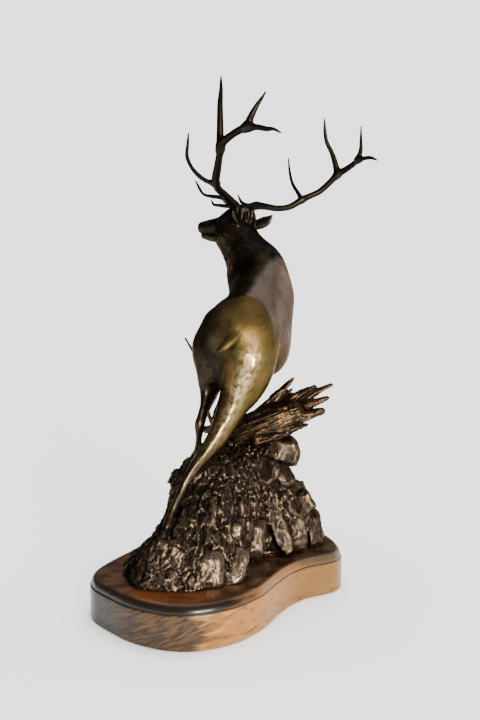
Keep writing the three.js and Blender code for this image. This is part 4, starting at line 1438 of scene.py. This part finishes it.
def make_slab(material):
    """The slab: a foot chamfer, a planed side, a fine quirk and a rounded top edge."""
    outline = smooth_ring(SLAB_OUTLINE, SLAB_POINTS)
    step = SLAB_STEP_HEIGHT
    profile = [(SLAB_FOOT_CHAMFER, 0), (0.3, 0.3), (0, SLAB_FOOT_CHAMFER)]
    profile += [(0, height) for height in np.linspace(4, step - 2, 9)]
    profile += [(0.1, step - 1.2), (0.5, step - 0.6), (SLAB_QUIRK_DEPTH, step - 0.3),
                (SLAB_QUIRK_DEPTH, step + 0.2)]
    for angle in np.radians(np.linspace(4, 90, 12)):
        profile.append((mix(SLAB_EDGE_INSET, SLAB_STEP_DEPTH, math.cos(angle)),
                        mix(step, SLAB_HEIGHT, math.sin(angle))))
    rings = [np.column_stack([inset_outline(outline, inset), np.full(len(outline), height)])
             for inset, height in profile]
    inner = rings[-1]
    centre = inner.mean(0)
    rings += [centre + (inner - centre) * share for share in SLAB_TOP_RINGS]
    points = np.vstack([*rings, centre, (*centre[:2], 0)])
    n = len(outline)
    ring = np.arange(n)
    following = (ring + 1) % n
    faces = []
    for first in n * np.arange(len(rings) - 1):
        faces += (first + np.column_stack([ring, following, following + n, ring + n])).tolist()
    last = (len(rings) - 1) * n
    top, under = len(points) - 2, len(points) - 1
    faces += np.column_stack([last + ring, last + following, np.full(n, top)]).tolist()
    faces += np.column_stack([following, ring, np.full(n, under)]).tolist()
    slab = new_mesh("hardwood_base", points, faces)
    # Where the painted shadow line along the quirk lies.
    set_attribute(slab, "line", smoothstep(0.8, 0.2, np.abs(points[:, 2] - step)))
    slab.data.materials.append(material)
    slab.data.shade_smooth()
    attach(slab, "root")
    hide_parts("hardwood_slab")


# The floor, and how far it lies below the slab.
FLOOR_HALF_WIDTH = 6000
FLOOR_GAP = 0.5


def make_floor():
    corners = np.array([(-1, -1, 0), (1, -1, 0), (1, 1, 0), (-1, 1, 0)]) * FLOOR_HALF_WIDTH
    floor = new_mesh("floor", corners, [(0, 1, 2, 3)])
    floor.location.z = -FLOOR_GAP * MILLIMETRE
    floor.data.materials.append(floor_material())


# Light and camera

# Each sun: name, strength, colour, where it shines from as seen from the object, width in degrees.
SUNS = [
    ("key", 3.4, (1.0, 0.93, 0.84), (0.50, -0.85, 0.12), 18),
    ("softbox", 5.6, (1.0, 0.92, 0.80), (0.34, -0.94, 0.03), 10),
    ("rim", 0.7, (0.97, 0.96, 0.96), (0.80, 0.56, 0.24), 40),
    ("top", 1.2, (0.94, 0.97, 1.0), (0.1, 0.2, 1.0), 70),
    ("fill", 6.5, (1.0, 1.0, 1.0), (0.1, 0.1, 1.0), 90),
]
BACKDROP_BRIGHTNESS = 2.4
ROOM_BRIGHTNESS = 0.12


def light_room():
    for name, strength, colour, towards, width in SUNS:
        sun = bpy.data.lights.new(name, "SUN")
        sun.energy = strength
        sun.color = colour
        sun.angle = math.radians(width)
        obj = bpy.data.objects.new(name, sun)
        obj.rotation_euler = Vector(towards).to_track_quat("Z", "Y").to_euler()
        obj.visible_glossy = name != "fill"
        bpy.context.scene.collection.objects.link(obj)
    world = bpy.data.worlds.new("studio")
    world.use_nodes = True
    tree = world.node_tree
    background = tree.nodes["Background"]
    path = tree.nodes.new("ShaderNodeLightPath")
    strength = tree.nodes.new("ShaderNodeMapRange")
    strength.inputs["To Min"].default_value = ROOM_BRIGHTNESS
    strength.inputs["To Max"].default_value = BACKDROP_BRIGHTNESS
    tree.links.new(path.outputs["Is Camera Ray"], strength.inputs["Value"])
    tree.links.new(strength.outputs["Result"], background.inputs["Strength"])
    background.inputs["Color"].default_value = (1, 1, 1, 1)
    bpy.context.scene.world = world


# The camera, in metres.
CAMERA_PLACE = (0.023, -0.910, 0.400)
CAMERA_TILT_DEGREES = 84
CAMERA_LENS = 37.0


def place_camera():
    camera = bpy.data.cameras.new("camera")
    camera.lens = CAMERA_LENS
    camera.sensor_width = 36.0
    obj = bpy.data.objects.new("camera", camera)
    obj.location = CAMERA_PLACE
    obj.rotation_euler = (math.radians(CAMERA_TILT_DEGREES), 0, 0)
    bpy.context.scene.collection.objects.link(obj)
    bpy.context.scene.camera = obj


place_camera()
make_slab(wood_material())
make_bronze(bronze_material())
make_floor()
light_room()
